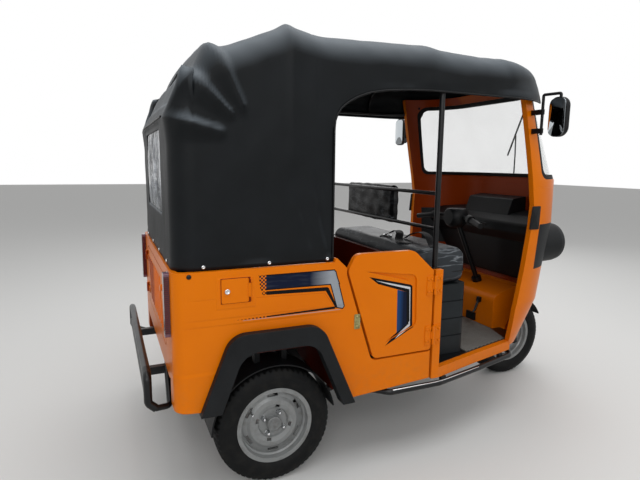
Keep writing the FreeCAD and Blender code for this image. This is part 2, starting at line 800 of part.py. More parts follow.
def wheels():
    half_track = rear_track / 2
    hub_inner = half_track - arm_y - 20 - 12
    drive = rim(hub_inner, half_track - engine_half_width - 1)
    ring = tyre()
    save("rear_tyre_left", [placed(ring, rear_axle_x, half_track)])
    save("rear_tyre_right", [placed(ring, rear_axle_x, -half_track)])
    save("rear_rim_left", [placed(drive, rear_axle_x, half_track)])
    save("rear_rim_right", [placed(mirrored(drive), rear_axle_x, -half_track)])
    bore = Part.makeCylinder(axle_pin_radius + pin_clearance, 300, Vector(0, -150, 0), Vector(0, 1, 0))
    save("front_tyre", [placed(ring, front_axle_x, 0)])
    save("front_rim", [placed(mirrored(rim(70, 0).cut(bore)), front_axle_x, 0)])


# Steering

def front_fork():
    low = axis_point(crown_low)
    lean = axis_direction()
    ahead = fork_ahead()
    pin = Part.makeCylinder(axle_pin_radius, 2 * (leg_y + leg_radius), Vector(front_axle_x, -leg_y - leg_radius,
                            tyre_radius), Vector(0, 1, 0))
    pieces = [pin]
    for side in (-1, 1):
        foot = Vector(front_axle_x, side * leg_y, tyre_radius)
        pieces.append(Part.makeCylinder(leg_radius, 150, foot - lean * 26, lean))
        pieces.append(Part.makeCylinder(leg_radius - 5, crown_low + crown_height, foot, lean))
    # crown plate, square to the steering axis, from behind the stem to past the legs
    corners = [(crown_behind, -1), (crown_ahead, -1), (crown_ahead, 1), (crown_behind, 1)]
    points = [low + ahead * reach + Vector(0, side * crown_half_width, 0) for reach, side in corners]
    crown = Part.Face(Part.Wire(rounded_edges(points, [14] * 4, True))).extrude(lean * crown_height)
    stem = Part.makeCylinder(stem_radius, bar_height - crown_low - 10, low, lean)
    return fused(pieces + [crown, stem])


def handlebar():
    top = axis_point(bar_height)
    grip_x = top.x - 70
    points = [(grip_x, -bar_half_length, top.z - 20), (grip_x + 40, -bar_half_length + 150, top.z + 5),
              (top.x, -60, top.z + 5), (top.x, 60, top.z + 5),
              (grip_x + 40, bar_half_length - 150, top.z + 5), (grip_x, bar_half_length, top.z - 20)]
    tube = bar(points, bar_radius, 60)
    pieces = [tube]
    for side in (-1, 1):
        end = Vector(grip_x, side * bar_half_length, top.z - 20)
        inner = Vector(grip_x + 40, side * (bar_half_length - 150), top.z + 5)
        run = unit(end, inner)
        pieces.append(Part.makeCylinder(grip_radius, grip_length, end, run))
        pieces.append(Part.makeCylinder(24, 34, end + run * (grip_length + 2), run))
        reach = end + run * 20 + Vector(48, 0, 6)
        lever = rod(tuple(reach), tuple(end + run * (grip_length + 16) + Vector(6, 0, 4)), 5)
        pieces.append(lever)
    clamp = Part.makeCylinder(26, 56, axis_point(bar_height - 34), axis_direction())
    socket = Part.makeCylinder(stem_radius, 200, axis_point(bar_height - 210), axis_direction())
    cowl = Part.makeSphere(74, axis_point(bar_height + 2))
    cowl = cowl.common(block(top.x - 60, top.x + 90, -80, 80, top.z - 62, top.z + 52))
    return fused(pieces + [clamp, cowl]).cut(socket)


def front_mudguard():
    inner = tyre_radius + guard_gap
    outer = inner + guard_wall
    half = 76
    centre = Vector(front_axle_x, -half, tyre_radius)
    ring = Part.makeCylinder(outer, 2 * half, centre, Vector(0, 1, 0))
    ring = ring.cut(Part.makeCylinder(inner, 2 * half, centre, Vector(0, 1, 0)))
    keep = side_plate([(front_axle_x, tyre_radius, 0), (front_axle_x - 420, tyre_radius + 60, 0),
                       (front_axle_x - 300, 700, 0), (front_axle_x + 300, 700, 0),
                       (front_axle_x + 420, tyre_radius + 230, 0)], -200, 200)
    sheet = ring.common(keep)
    ahead = fork_ahead() * 33
    post = Part.makeCylinder(12, 60 - seat_gap, axis_point(crown_low - 60) + ahead, axis_direction())
    core = Part.makeCylinder(inner, 2 * half, centre, Vector(0, 1, 0))
    return fused([sheet, post.cut(core)])


# Front shell

def shell_section(z, half, corner, front, inset, back):
    # A U in plan, closed across the back, with its wall moved in by inset
    y = half - inset
    nose = rear_axle_x + front - inset
    outline = [(back, -y, 0), (nose, -y, corner - inset), (nose, y, corner - inset), (back, y, 0)]
    points = [Vector(x, side, z) for x, side, radius in outline]
    return Part.Wire(rounded_edges(points, [radius for x, side, radius in outline], True))


def shell_loft(inset, back=None):
    rear = shell_back_x if back is None else back
    wires = [shell_section(z, half, corner, front, inset, rear) for z, half, corner, front in shell_sections]
    return Part.makeLoft(wires, True, True)


def shell_layer(outer, inner):
    # The wall between two depths below the outer skin, open at the back
    return shell_loft(outer).cut(shell_loft(inner, shell_back_x - 10))


def pillar_line():
    # Rear edge of the front pillars in side view: x, z
    return [(rear_axle_x + 1372, shell_low_z), (rear_axle_x + 1360, 600), (rear_axle_x + 1385, 980),
            (rear_axle_x + 1395, 1160), (pillar_waist_x, pillar_waist_z), (pillar_top_x, shell_top_z)]


wall_cache = {}


def front_wall(low, high):
    if "wall" not in wall_cache:
        wall = shell_layer(0, shell_wall)
        line = pillar_line()
        outline = line + [(rear_axle_x + 2000, shell_top_z + 10), (rear_axle_x + 2000, shell_low_z - 10)]
        outline[0] = (outline[0][0], shell_low_z - 10)
        outline[len(line) - 1] = (line[-1][0], shell_top_z + 10)
        keep = side_plate([(x, z, 0) for x, z in outline], -900, 900)
        wall_cache["wall"] = wall.common(keep)
    return wall_cache["wall"].common(block(rear_axle_x + 1000, rear_axle_x + 2000, -900, 900, low, high))


def front_shell():
    lower = front_wall(shell_low_z, fascia_low_z)
    arch = end_plate([(-tub_half_width, 0, 0), (tub_half_width, 0, 0), (tub_half_width - 30, 640, 110),
                      (-tub_half_width + 30, 640, 110)], rear_axle_x + 1400, rear_axle_x + 1800)
    upper = front_wall(fascia_high_z, screen_low_z)
    pillars = front_wall(fascia_low_z, fascia_high_z)
    pillars = pillars.common(block(rear_axle_x + 1000, rear_axle_x + 1450, -900, 900, 0, 2000))
    return fused([lower.cut(arch), pillars, upper])


def lamp_nacelle():
    # Turned housing that points straight ahead: x, radius
    back_x = rear_axle_x + 1560
    profile = [(back_x, 0), (back_x, nacelle_root_radius), (lamp_nose_x - 45, lamp_radius + nacelle_wall),
               (lamp_nose_x - 16, lamp_radius + nacelle_wall - 6), (lamp_nose_x - 16, 0)]
    points = [Vector(x, -lamp_y, lamp_z + radius) for x, radius in profile]
    face = Part.Face(Part.makePolygon(points + points[:1]))
    return face.revolve(Vector(0, -lamp_y, lamp_z), Vector(1, 0, 0), 360)


def lamp_pocket():
    return Part.makeCylinder(lamp_radius, 140, Vector(lamp_nose_x - 60, -lamp_y, lamp_z), Vector(1, 0, 0))


def lamp_fascia():
    band = front_wall(fascia_low_z, fascia_high_z)
    band = band.common(block(rear_axle_x + 1450, rear_axle_x + 2000, -900, 900, 0, 2000))
    hollow = shell_loft(shell_wall)
    nacelle = lamp_nacelle().cut(hollow)
    slab = block(rear_axle_x + 1450, rear_axle_x + 2000, -900, 900, fascia_low_z, fascia_high_z)
    nacelle = nacelle.common(slab).cut(lamp_pocket())
    return fused([band] + both(nacelle))


def headlamp():
    # Lens bowl with a shallow dome, seated in the nacelle's pocket
    radius = lamp_radius - seat_gap
    base = lamp_nose_x - 60 + seat_gap
    body = Part.makeCylinder(radius, 42, Vector(base, -lamp_y, lamp_z), Vector(1, 0, 0))
    rise = 16
    ball_radius = (radius * radius + rise * rise) / (2 * rise)
    centre = Vector(base + 42 + rise - ball_radius, -lamp_y, lamp_z)
    dome = Part.makeSphere(ball_radius, centre)
    dome = dome.common(Part.makeCylinder(radius, rise + 5, Vector(base + 41, -lamp_y, lamp_z), Vector(1, 0, 0)))
    return fused([body, dome])


def screen_opening(inset):
    # Everything ahead of a line beside the pillar, so the glass wraps round to it
    low = screen_bottom_z + inset
    high = screen_head_z - inset
    corner = screen_corner - inset / 2

    def edge(z):
        return pillar_waist_x + pillar_width + inset - pillar_lean * (z - pillar_waist_z)

    ahead = rear_axle_x + 2000
    return side_plate([(edge(low), low, corner), (ahead, low, 0), (ahead, high, 0), (edge(high), high, corner)],
                      -900, 900)


def screen_frame():
    return front_wall(screen_low_z, shell_top_z).cut(screen_opening(0))


def screen_seal():
    half = 12
    band = shell_layer(shell_wall / 2 - half, shell_wall / 2 + half)
    return band.common(screen_opening(seat_gap).cut(screen_opening(seal_width)))


def windscreen():
    half = glass_thickness / 2
    sheet = shell_layer(shell_wall / 2 - half, shell_wall / 2 + half)
    return sheet.common(screen_opening(seal_width + seat_gap))


def nose_x(y, z):
    # Outer face of the front shell at a height and side
    rows = [row for row in zip(shell_sections, shell_sections[1:]) if row[0][0] <= z <= row[1][0]]
    low, high = rows[0]
    share = (z - low[0]) / (high[0] - low[0])
    half, corner, front = [low[i] + share * (high[i] - low[i]) for i in (1, 2, 3)]
    turn = max(0, abs(y) - (half - corner))
    return rear_axle_x + front - corner + math.sqrt(corner * corner - turn * turn)


def wiper():
    # Arm and blade on the glass: y, z of the pivot, the joint and the two blade ends
    def on_glass(y, z, stand):
        return (nose_x(y, z) + stand, y, z)

    pivot_y = -34
    arm = bar([on_glass(pivot_y, 1270, 14), on_glass(-90, 1420, 16), on_glass(-140, 1537, 12)], 4, 30)
    blade = bar([on_glass(-40, 1425, 8), on_glass(-241, 1651, 8)], 5, 10)
    boss = Part.makeCylinder(13, 26, Vector(nose_x(pivot_y, 1270) - 1, pivot_y, 1270), Vector(1, 0, 0))
    boss = boss.cut(shell_loft(-seat_gap))
    return fused([arm, blade, boss])


def wheel_tub():
    # Cover over the front wheel inside the cab
    def cover(grow, half):
        outline = [(tub_back_x + grow, shell_low_z - grow, 0), (tub_back_x + grow, 600, 50),
                   (rear_axle_x + 1600, tub_top_z - grow, 60), (rear_axle_x + 1800, tub_top_z - grow, 0),
                   (rear_axle_x + 1800, shell_low_z - grow, 0)]
        return side_plate(outline, -half, half)

    tub = cover(0, tub_half_width).cut(cover(tub_wall, tub_half_width - tub_wall))
    tub = tub.common(shell_loft(shell_wall + seat_gap))
    hole = Part.makeCylinder(head_tube_radius + seat_gap, 400, axis_point(head_low - 100), axis_direction())
    return biggest(tub.cut(hole))


def dashboard():
    # Shelf across the cab with an instrument hood: x, z, corner radius
    shelf = [(rear_axle_x + 1800, 925, 0), (rear_axle_x + 1560, 925, 30), (rear_axle_x + 1512, 985, 30),
             (rear_axle_x + 1512, 1035, 20), (rear_axle_x + 1580, 1075, 30), (rear_axle_x + 1800, 1110, 0)]
    hood = [(rear_axle_x + 1800, 1040, 0), (rear_axle_x + 1560, 1040, 10), (rear_axle_x + 1605, 1165, 20),
            (rear_axle_x + 1800, 1190, 0)]
    knee = [(rear_axle_x + 1800, knee_panel_low_z, 0), (rear_axle_x + 1626, knee_panel_low_z, 20),
            (rear_axle_x + 1560, 930, 0), (rear_axle_x + 1800, 930, 0)]
    widths = [(shelf, body_half_width - 98), (hood, 190), (knee, body_half_width - 118)]
    pieces = [side_plate(outline, -half, half) for outline, half in widths]
    return biggest(fused(pieces).common(shell_loft(shell_wall + seat_gap)))


def mirror():
    # Bracket on the pillar, arm and rounded head, right side
    x = mirror_post_x
    y = -mirror_post_y
    head_y = -mirror_head_y
    outline = rounded_box(head_y - mirror_head_half, head_y + mirror_head_half, mirror_low_z, mirror_high_z,
                          mirror_head_half - 6)
    head = end_plate(outline, x, x + mirror_depth)
    rim_edges = [edge for edge in head.Edges if edge.BoundBox.XMin > x + mirror_depth - 1]
    head = head.makeFillet(mirror_depth * 0.4, rim_edges)
    middle = x + mirror_depth / 2
    arm = bar([(x, y, 1510), (x, y, mirror_arm_z), (middle, head_y, mirror_arm_z),
               (middle, head_y, mirror_high_z - 20)], mirror_arm_radius, 8)
    pieces = [head, arm]
    for z in (1530, 1620):
        foot = block(x - 8, x + 8, y - 6, y + 90, z - 12, z + 12)
        pieces.append(foot.cut(shell_loft(-seat_gap)))
    return fused(pieces)


# Seats and the rails behind the driver

def seat_box():
    outline = rounded_box(seat_back_x + 8, seat_front_x, -seat_box_half_width, seat_box_half_width, 35)
    solid = floor_plate(outline, floor_z + seat_gap, seat_box_top_z)
    ribs = []
    half = seat_box_half_width
    outer = rounded_box(seat_back_x, seat_front_x + 8, -half - 8, half + 8, 40)
    inner = rounded_box(seat_back_x + 14, seat_front_x - 6, 6 - half, half - 6, 30)
    for z in (floor_z + 92, floor_z + 182, floor_z + 272):
        ribs.append(floor_plate(outer, z, z + 6).cut(floor_plate(inner, z - 1, z + 7)))
    for rib in ribs:
        solid = solid.cut(rib)
    return solid


def cushion(x0, x1, half, z0, z1, radius):
    solid = floor_plate(rounded_box(x0, x1, -half, half, radius), z0, z1)
    top = [edge for edge in solid.Edges if edge.BoundBox.ZMin > z1 - 1]
    return solid.makeFillet(min(radius, (z1 - z0) * 0.45), top)


def driver_backrest():
    # Pad tied to the two rails behind the driver
    outline = rounded_box(-165, 370, 1050, 1250, 40)
    back = pole_x + grab_rail_radius + seat_gap
    depth = 50
    pad = end_plate(outline, back, back + depth)
    front = [edge for edge in pad.Edges if edge.BoundBox.XMin > back + depth - 1]
    return pad.makeFillet(24, front)


def partition():
    y = body_half_width - side_wall - 8
    outline = [(-y, floor_z, 0), (y, floor_z, 0), (y, partition_top_z, 70), (-y, partition_top_z, 70)]
    return end_plate(outline, partition_x, partition_x + 22)


def grab_frame():
    pieces = []
    for side in (-1, 1):
        pieces.append(rod((pole_x, side * pole_y, post_top_z), (pole_x, side * pole_y, rail_line_z), pole_radius))
        pieces.append(block(pole_x - 18, pole_x + 18, side * pole_y - 18, side * pole_y + 18, post_top_z,
                            post_top_z + 6))
    for z in grab_rail_heights:
        pieces.append(rod((pole_x, -pole_y, z), (pole_x, pole_y, z), grab_rail_radius))
    return fused(pieces)


# Hood

def roof_frame():
    # Side rails under the hood's edge and the bows that carry it
    pieces = []
    inner = hood_half_width - hood_skin - 2
    rail_y_roof = inner - roof_rail_radius
    rail_z = rail_line_z + roof_rail_radius
    pillar_y = shell_sections[-1][1] - shell_wall / 2
    ahead = rear_axle_x + 2000
    past_pillar = side_plate([(pillar_waist_x - seat_gap, pillar_waist_z, 0), (ahead, pillar_waist_z, 0),
                              (ahead, shell_top_z, 0), (pillar_top_x - seat_gap, shell_top_z, 0)], -700, 700)
    for side in (-1, 1):
        y = side * rail_y_roof
        rail = bar([(rear_axle_x + 45, y, rail_z), (pillar_top_x - 100, y, rail_z),
                    (pillar_top_x + 30, side * pillar_y, rail_z)], roof_rail_radius, 80)
        pieces.append(rail.cut(past_pillar))
    for x, low in bow_stations:
        outer = hood_section(x, hood_skin + 3, low)
        inside = hood_section(x, hood_skin + 3 + bow_depth, low - 40)
        band = Part.Face(outer).extrude(Vector(bow_width, 0, 0))
        cut = Part.Face(inside).extrude(Vector(bow_width + 2, 0, 0))
        band.translate(Vector(-bow_width / 2, 0, 0))
        cut.translate(Vector(-bow_width / 2 - 1, 0, 0))
        pieces.append(band.cut(cut))
    return fused(pieces)


def shoulder_at(x):
    for (x0, z0, rise0), (x1, z1, rise1) in zip(hood_stations, hood_stations[1:]):
        low, high = rear_axle_x + x0, rear_axle_x + x1
        if low <= x <= high:
            share = (x - low) / (high - low)
            return z0 + share * (z1 - z0), rise0 + share * (rise1 - rise0)
    return hood_stations[-1][1:]


def hood_section(x, inset, low):
    # Straight sides, round shoulders and a slightly arched crown
    shoulder, rise = shoulder_at(x)
    top = shoulder - inset
    half = hood_half_width - inset
    radius = hood_shoulder - inset
    flat = half - radius
    turn = radius * (1 - math.sqrt(0.5))

    def at(y, z):
        return Vector(x, y, z)

    edges = [Part.LineSegment(at(-half, low), at(half, low)).toShape(),
             Part.LineSegment(at(half, low), at(half, top - radius)).toShape(),
             Part.Arc(at(half, top - radius), at(half - turn, top - turn), at(flat, top)).toShape(),
             Part.Arc(at(flat, top), at(0, top + rise), at(-flat, top)).toShape(),
             Part.Arc(at(-flat, top), at(-half + turn, top - turn), at(-half, top - radius)).toShape(),
             Part.LineSegment(at(-half, top - radius), at(-half, low)).toShape()]
    return Part.Wire(edges)


def hood_solid(inset, low):
    wires = [hood_section(rear_axle_x + x, inset, low) for x, z, rise in hood_stations]
    length_loft = Part.makeLoft(wires, True, True)
    plans = []
    for z, pull in [(low, 0)] + nose_rows:
        half = hood_half_width - inset
        nose = hood_front_x - inset - pull
        back = hood_back_x + inset
        corner = 80 - inset
        outline = [(back, -half, corner), (nose, -half, hood_nose_radius - inset),
                   (nose, half, hood_nose_radius - inset), (back, half, corner)]
        points = [Vector(x, y, z) for x, y, radius in outline]
        plans.append(Part.Wire(rounded_edges(points, [radius for x, y, radius in outline], True)))
    return length_loft.common(Part.makeLoft(plans, True, True))


def canopy():
    bottom = belt_z + seat_gap
    shell = hood_solid(0, bottom).cut(hood_solid(hood_skin, bottom - 20))
    # side opening from the edge of the hood forward: x, z, corner radius
    opening = [(hood_edge_x, 900, 0), (hood_edge_x, 1560, 60), (hood_edge_x + 160, 1655, 120),
               (hood_edge_x + 440, hood_edge_z + 6, 200), (hood_edge_x + 1100, hood_edge_z, 0),
               (rear_axle_x + 2000, hood_edge_z, 0), (rear_axle_x + 2000, 900, 0)]
    shell = shell.cut(side_plate(opening, -900, 900))
    visor = rounded_box(-hood_visor_half, hood_visor_half, hood_edge_z - 90, hood_visor_z, 40)
    shell = shell.cut(end_plate(visor, pillar_waist_x, rear_axle_x + 2000))
    window =rounded_box(-window_half_width, window_half_width, window_bottom_z, window_top_z, 60)
    return biggest(shell.cut(end_plate(window, hood_back_x - 50, hood_back_x + 60)))


def rear_window():
    lap = window_lap
    outline = rounded_box(-window_half_width - lap, window_half_width + lap, window_bottom_z - lap,
                          window_top_z + lap, 60 + lap)
    sheet = end_plate(outline, hood_back_x - window_sheet - seat_gap, hood_back_x - seat_gap)
    return sheet.cut(hood_solid(-seat_gap, belt_z))


# Outer tubes

def rear_guard():
    back = rear_axle_x - rear_overhang + guard_radius
    half = guard_half_width
    side_line = [(back + 28, half, guard_end_z), (back, half, guard_end_z + 26), (back, half, guard_top_z - 8),
                 (back, half - 60, guard_top_z)]
    points = [(x, -y, z) for x, y, z in side_line] + side_line[::-1]
    low = rod((back, -half, guard_low_bar_z), (back, half, guard_low_bar_z), guard_radius - 2)
    pieces = [bar(points, guard_radius, 24), low]
    for side in (-1, 1):
        y = side * rail_y
        pieces.append(block(back, rail_rear_x, y - 14, y + 14, guard_foot_z + 4, guard_foot_z + 38))
        pieces.append(bar([(back + 28, side * half, guard_end_z), (back + 84, side * (half - 30), guard_brace_z),
                           (rail_rear_x - 18, side * (rail_y + 10), guard_foot_z + 30)],
                          guard_brace_radius, 30))
    return fused(pieces)


def step_bar():
    z = step_bar_z
    wide = body_half_width
    points = [(rear_axle_x + 470, 58 - wide, z), (rear_axle_x + 530, -wide, z),
              (rear_axle_x + 800, -wide - 2, z), (rear_axle_x + 1100, -sill_waist_y - 13, z),
              (rear_axle_x + 1385, -shell_foot_y - 9, z), (rear_axle_x + 1400, -shell_foot_y + 33, z + 6)]
    pieces = [bar(points, step_bar_radius, 40)]
    # x and y of each tab up to the sill
    for x, y in ((rear_axle_x + 830, 12 - wide), (rear_axle_x + 1300, -shell_foot_y - 18)):
        pieces.append(block(x - 14, x + 14, y - 8, y + 8, z, floor_z - sill_height))
    return fused(pieces)


def pedals():
    foot = (rear_axle_x + 1405, -150, 500)
    wall = tub_back_x - seat_gap
    lever = bar([(wall - 10, -150, 560), foot, (rear_axle_x + 1380, -150, 470)], 7, 14)
    pad = block(rear_axle_x + 1368, rear_axle_x + 1382, -185, -115, 445, 490)
    return fused([lever, pad, block(wall - 18, wall, -162, -138, 545, 575)])


def main():
    panel = side_panel()
    save("side_panel_right", [fused([panel] + flap_lugs())])
    save("side_panel_left", [mirrored(panel)])
    save("rear_panel", [fused([rear_panel()] + hatch_lugs())])
    save("rear_hatch", [rear_hatch()])
    save("fuel_flap", [fuel_flap()])
    save("tail_lamps", both(tail_lamp()))
    save("arch_flares", both(arch_flare()))
    save("rear_mudguards", both(rear_mudguard()))
    save("side_sill_right", [side_sill()])
    save("side_sill_left", [mirrored(side_sill())])
    save("door_right", [door()])
    save("door_left", [mirrored(door())])
    save("floor_pan", [floor_pan()])
    save("floor_mat", [floor_mat()])
    save("passenger_seat_base", [seat_base()])
    save("chassis_frame", [chassis()])
    save("engine_block", [engine()])
    save("rear_suspension", both(rear_suspension()))
    wheels()
    save("front_fork", [front_fork()])
    save("handlebar", [handlebar()])
    save("front_mudguard", [front_mudguard()])
    save("front_shell", [front_shell()])
    save("lamp_fascia", [lamp_fascia()])
    save("headlamps", both(headlamp()))
    save("screen_frame", [screen_frame()])
    save("screen_seal", [screen_seal()])
    save("windscreen", [windscreen()])
    save("wiper", [wiper()])
    save("front_wheel_tub", [wheel_tub()])
    save("dashboard", [dashboard()])
    save("mirrors", both(mirror()))
    save("driver_seat_box", [seat_box()])
    save("driver_cushion", [cushion(seat_back_x, seat_front_x - 10, driver_cushion_half, seat_box_top_z + seat_gap,
                                    cushion_top_z, 60)])
    save("driver_backrest", [driver_backrest()])
    save("partition", [partition()])
    save("grab_frame", [grab_frame()])
    bench_half = body_half_width - side_wall - 10
    save("passenger_cushion", [cushion(rear_axle_x - 180, riser_x + 5, bench_half, deck_z + seat_gap, 735, 50)])
    back_pad = cushion(rear_axle_x - 300, rear_axle_x - 190, bench_half, deck_z + seat_gap, 1150, 45)
    save("passenger_backrest", [back_pad])
    save("canopy", [canopy()])
    save("roof_frame", [roof_frame()])
    save("rear_window", [rear_window()])
    save("rear_guard", [rear_guard()])
    save("step_bars", both(step_bar()))
    save("foot_pedal", [pedals()])


main()
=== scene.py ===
import bpy
import bmesh
import math
import numpy as np
from mathutils import Matrix


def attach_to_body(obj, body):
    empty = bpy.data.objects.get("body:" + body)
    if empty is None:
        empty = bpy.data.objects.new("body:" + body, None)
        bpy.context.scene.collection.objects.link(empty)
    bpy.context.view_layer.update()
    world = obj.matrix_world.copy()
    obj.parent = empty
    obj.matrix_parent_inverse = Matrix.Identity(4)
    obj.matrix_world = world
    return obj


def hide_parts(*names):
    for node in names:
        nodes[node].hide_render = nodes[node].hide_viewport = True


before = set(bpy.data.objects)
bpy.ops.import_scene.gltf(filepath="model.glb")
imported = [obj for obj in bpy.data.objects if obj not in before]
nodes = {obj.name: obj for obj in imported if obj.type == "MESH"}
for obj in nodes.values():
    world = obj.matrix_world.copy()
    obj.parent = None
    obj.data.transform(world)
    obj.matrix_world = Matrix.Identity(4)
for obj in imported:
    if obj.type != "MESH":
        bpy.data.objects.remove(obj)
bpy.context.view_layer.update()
print("frame loaded,", len(nodes), "nodes")

rearAxleX = -0.755
frontAxleX = 1.021
wheelHeight = 0.254
halfTrack = 0.502
sides = ((-1, "Right"), (1, "Left"))


def placed(name, data):
    # An object at the origin, linked into the scene
    thing = bpy.data.objects.new(name, data)
    bpy.context.scene.collection.objects.link(thing)
    return thing


def addMesh(name, points, faces, closed=True, smooth=True, sharpAngle=None):
    # Vertices and equal-sided faces written as whole arrays; closed shapes get outward normals
    points = np.asarray(points, float).reshape(-1, 3)
    faces = np.asarray(faces, int)
    mesh = bpy.data.meshes.new(name)
    mesh.vertices.add(len(points))
    mesh.vertices.foreach_set("co", points.ravel())
    mesh.loops.add(faces.size)
    mesh.loops.foreach_set("vertex_index", faces.ravel())
    mesh.polygons.add(len(faces))
    mesh.polygons.foreach_set("loop_start", np.arange(0, faces.size, faces.shape[1]))
    mesh.update(calc_edges=True)
    work = bmesh.new()
    work.from_mesh(mesh)
    bmesh.ops.remove_doubles(work, verts=work.verts, dist=1e-5)
    bmesh.ops.dissolve_degenerate(work, dist=1e-6, edges=work.edges)
    if closed:
        bmesh.ops.recalc_face_normals(work, faces=work.faces)
    work.to_mesh(mesh)
    work.free()
    mesh.polygons.foreach_set("use_smooth", np.full(len(mesh.polygons), smooth))
    if sharpAngle:
        mesh.set_sharp_from_angle(angle=math.radians(sharpAngle))
    return placed(name, mesh)


def gridFaces(rows, cols, closeRows=False, closeCols=False):
    # Corner numbers of each four-sided face between neighbours on a grid
    index = np.arange(rows * cols).reshape(rows, cols)
    if closeRows:
        index = np.vstack([index, index[:1]])
    if closeCols:
        index = np.hstack([index, index[:, :1]])
    return np.stack([index[:-1, :-1], index[1:, :-1], index[1:, 1:], index[:-1, 1:]], -1)


def gridPiece(name, grid, closeRows=False, closeCols=False, keep=None, **looks):
    # A mesh from a grid of points (row, column, xyz), of all its faces or of those kept
    faces = gridFaces(grid.shape[0], grid.shape[1], closeRows, closeCols)
    faces = faces[keep] if keep is not None else faces.reshape(-1, 4)
    return addMesh(name, grid, faces, **looks)


def unit(vectors):
    # Each vector over its own length
    return vectors / np.maximum(np.linalg.norm(vectors, axis=-1, keepdims=True), 1e-9)


def rise(value, start, span):
    # 0 up to start, 1 from start + span on, straight between; a negative span falls instead
    return np.clip((value - start) / span, 0, 1)


def smoothStep(value, width):
    # Smooth step from 0 to 1 across zero
    share = rise(value, -width / 2, width)
    return share * share * (3 - 2 * share)


def turned(name, profile, places, axis, count, **looks):
    # point = place + axis * along + radius * (first * cos t + second * sin t), once for each place
    profile = np.asarray(profile, float)
    places = np.asarray(places, float).reshape(-1, 3)
    axis = unit(np.asarray(axis, float))
    first = unit(np.cross(axis, (0.13, 0.31, 0.94)))
    second = np.cross(axis, first)
    angle = np.linspace(0, 2 * np.pi, count, endpoint=False)[:, None, None]
    spoke = first * np.cos(angle) + second * np.sin(angle)
    shape = axis * profile[None, :, 1:2] + spoke * profile[None, :, 0:1]
    faces = gridFaces(count, len(profile), closeRows=True).reshape(-1, 4)
    shift = np.arange(len(places))[:, None, None] * count * len(profile)
    return addMesh(name, places[:, None, None] + shape, (faces + shift).reshape(-1, 4), **looks)


def roundPath(corners, radius, steps=7):
    # Straight runs with a parabola from radius before each corner to radius after it
    corners = np.asarray(corners, float)
    before = corners[:-2] - corners[1:-1]
    after = corners[2:] - corners[1:-1]
    beforeLength = np.linalg.norm(before, axis=1, keepdims=True)
    afterLength = np.linalg.norm(after, axis=1, keepdims=True)
    start = corners[1:-1] + before / beforeLength * np.minimum(radius, beforeLength * 0.48)
    end = corners[1:-1] + after / afterLength * np.minimum(radius, afterLength * 0.48)
    t = np.linspace(0, 1, steps)[None, :, None]
    bends = (1 - t) ** 2 * start[:, None] + 2 * t * (1 - t) * corners[1:-1, None] + t ** 2 * end[:, None]
    return np.vstack([corners[:1], bends.reshape(-1, corners.shape[1]), corners[-1:]])


def smoothPath(corners, steps):
    # Catmull-Rom curve through the corners
    p = np.asarray(corners, float)
    p = np.vstack([2 * p[0] - p[1], p, 2 * p[-1] - p[-2]])
    t = np.linspace(0, 1, steps, endpoint=False)[:, None, None]
    a, b, c, d = p[:-3], p[1:-2], p[2:-1], p[3:]
    curve = 0.5 * (2 * b + (c - a) * t + (2 * a - 5 * b + 4 * c - d) * t ** 2 + (3 * b - a - 3 * c + d) * t ** 3)
    return np.vstack([curve.transpose(1, 0, 2).reshape(-1, 3), p[-2:-1]])


def pathFrames(path, closed=False):
    # Tangents, and side vectors carried along the path with the least twist
    tangent = unit(np.roll(path, -1, 0) - np.roll(path, 1, 0) if closed else np.gradient(path, axis=0))
    side = np.cross(tangent[0], (0.02, 0.05, 1) if abs(tangent[0][2]) < 0.9 else (0, 1, 0.03))
    carried = []
    for direction in tangent:
        side = unit(side - direction * (side @ direction))
        carried.append(side)
    return tangent, np.array(carried), np.cross(tangent, carried)


def tube(name, path, radius, count, closed=False):
    # point = path + radius * (side * cos t + up * sin t), rounded off and drawn to a point at open ends
    path = np.asarray(path, float)
    radii = np.full(len(path), radius)
    tangent, side, up = pathFrames(path, closed)
    if not closed:
        path, tangent, side, up = [np.vstack([v[:1], v[:1], v, v[-1:], v[-1:]]) for v in (path, tangent, side, up)]
        radii = np.concatenate([[0, radius * 0.8], radii, [radius * 0.8, 0]])
        reach = np.zeros((len(path), 1))
        reach[:2], reach[-2:] = -radius * 0.25, radius * 0.25
        path = path + tangent * reach
    angle = np.linspace(0, 2 * np.pi, count, endpoint=False)[None, :, None]
    ring = side[:, None] * np.cos(angle) + up[:, None] * np.sin(angle)
    return gridPiece(name, path[:, None] + ring * radii[:, None, None], closeRows=closed, closeCols=True)


def ribbon(name, path, width, thickness):
    # Flat band: path + side * width * a + up * thickness * b, closed to a point at both ends
    tangent = unit(np.gradient(path, axis=0))
    side = unit(np.cross(tangent, (0, 0, 1)))
    up = np.cross(side, tangent)
    section = np.array([(-0.5, -0.3), (-0.47, -0.5), (0.47, -0.5), (0.5, -0.3),
                        (0.5, 0.3), (0.47, 0.5), (-0.47, 0.5), (-0.5, 0.3)]) * (width, thickness)
    grid = path[:, None] + side[:, None] * section[None, :, :1] + up[:, None] * section[None, :, 1:]
    first, last = [np.tile(end, (1, len(section), 1)) for end in (path[0], path[-1])]
    return gridPiece(name, np.concatenate([first, grid, last]), closeCols=True, sharpAngle=40)


def slab(name, outline, place, depth, edge):
    # Closed plate: the outline's ring is carried through the depth and drawn in by edge at both faces
    middle = outline.mean(0)
    inward = unit(middle - outline)
    rings = []
    for inset, level in ((None, 0), (edge, 0), (edge * 0.3, edge * 0.3), (0, edge), (0, depth - edge),
                         (edge * 0.3, depth - edge * 0.3), (edge, depth), (None, depth)):
        ring = np.tile(middle, (len(outline), 1)) if inset is None else outline + inward * inset
        rings.append(place(ring[:, 0], ring[:, 1], np.full(len(ring), float(level))))
    return gridPiece(name, np.array(rings), closeCols=True, sharpAngle=35)


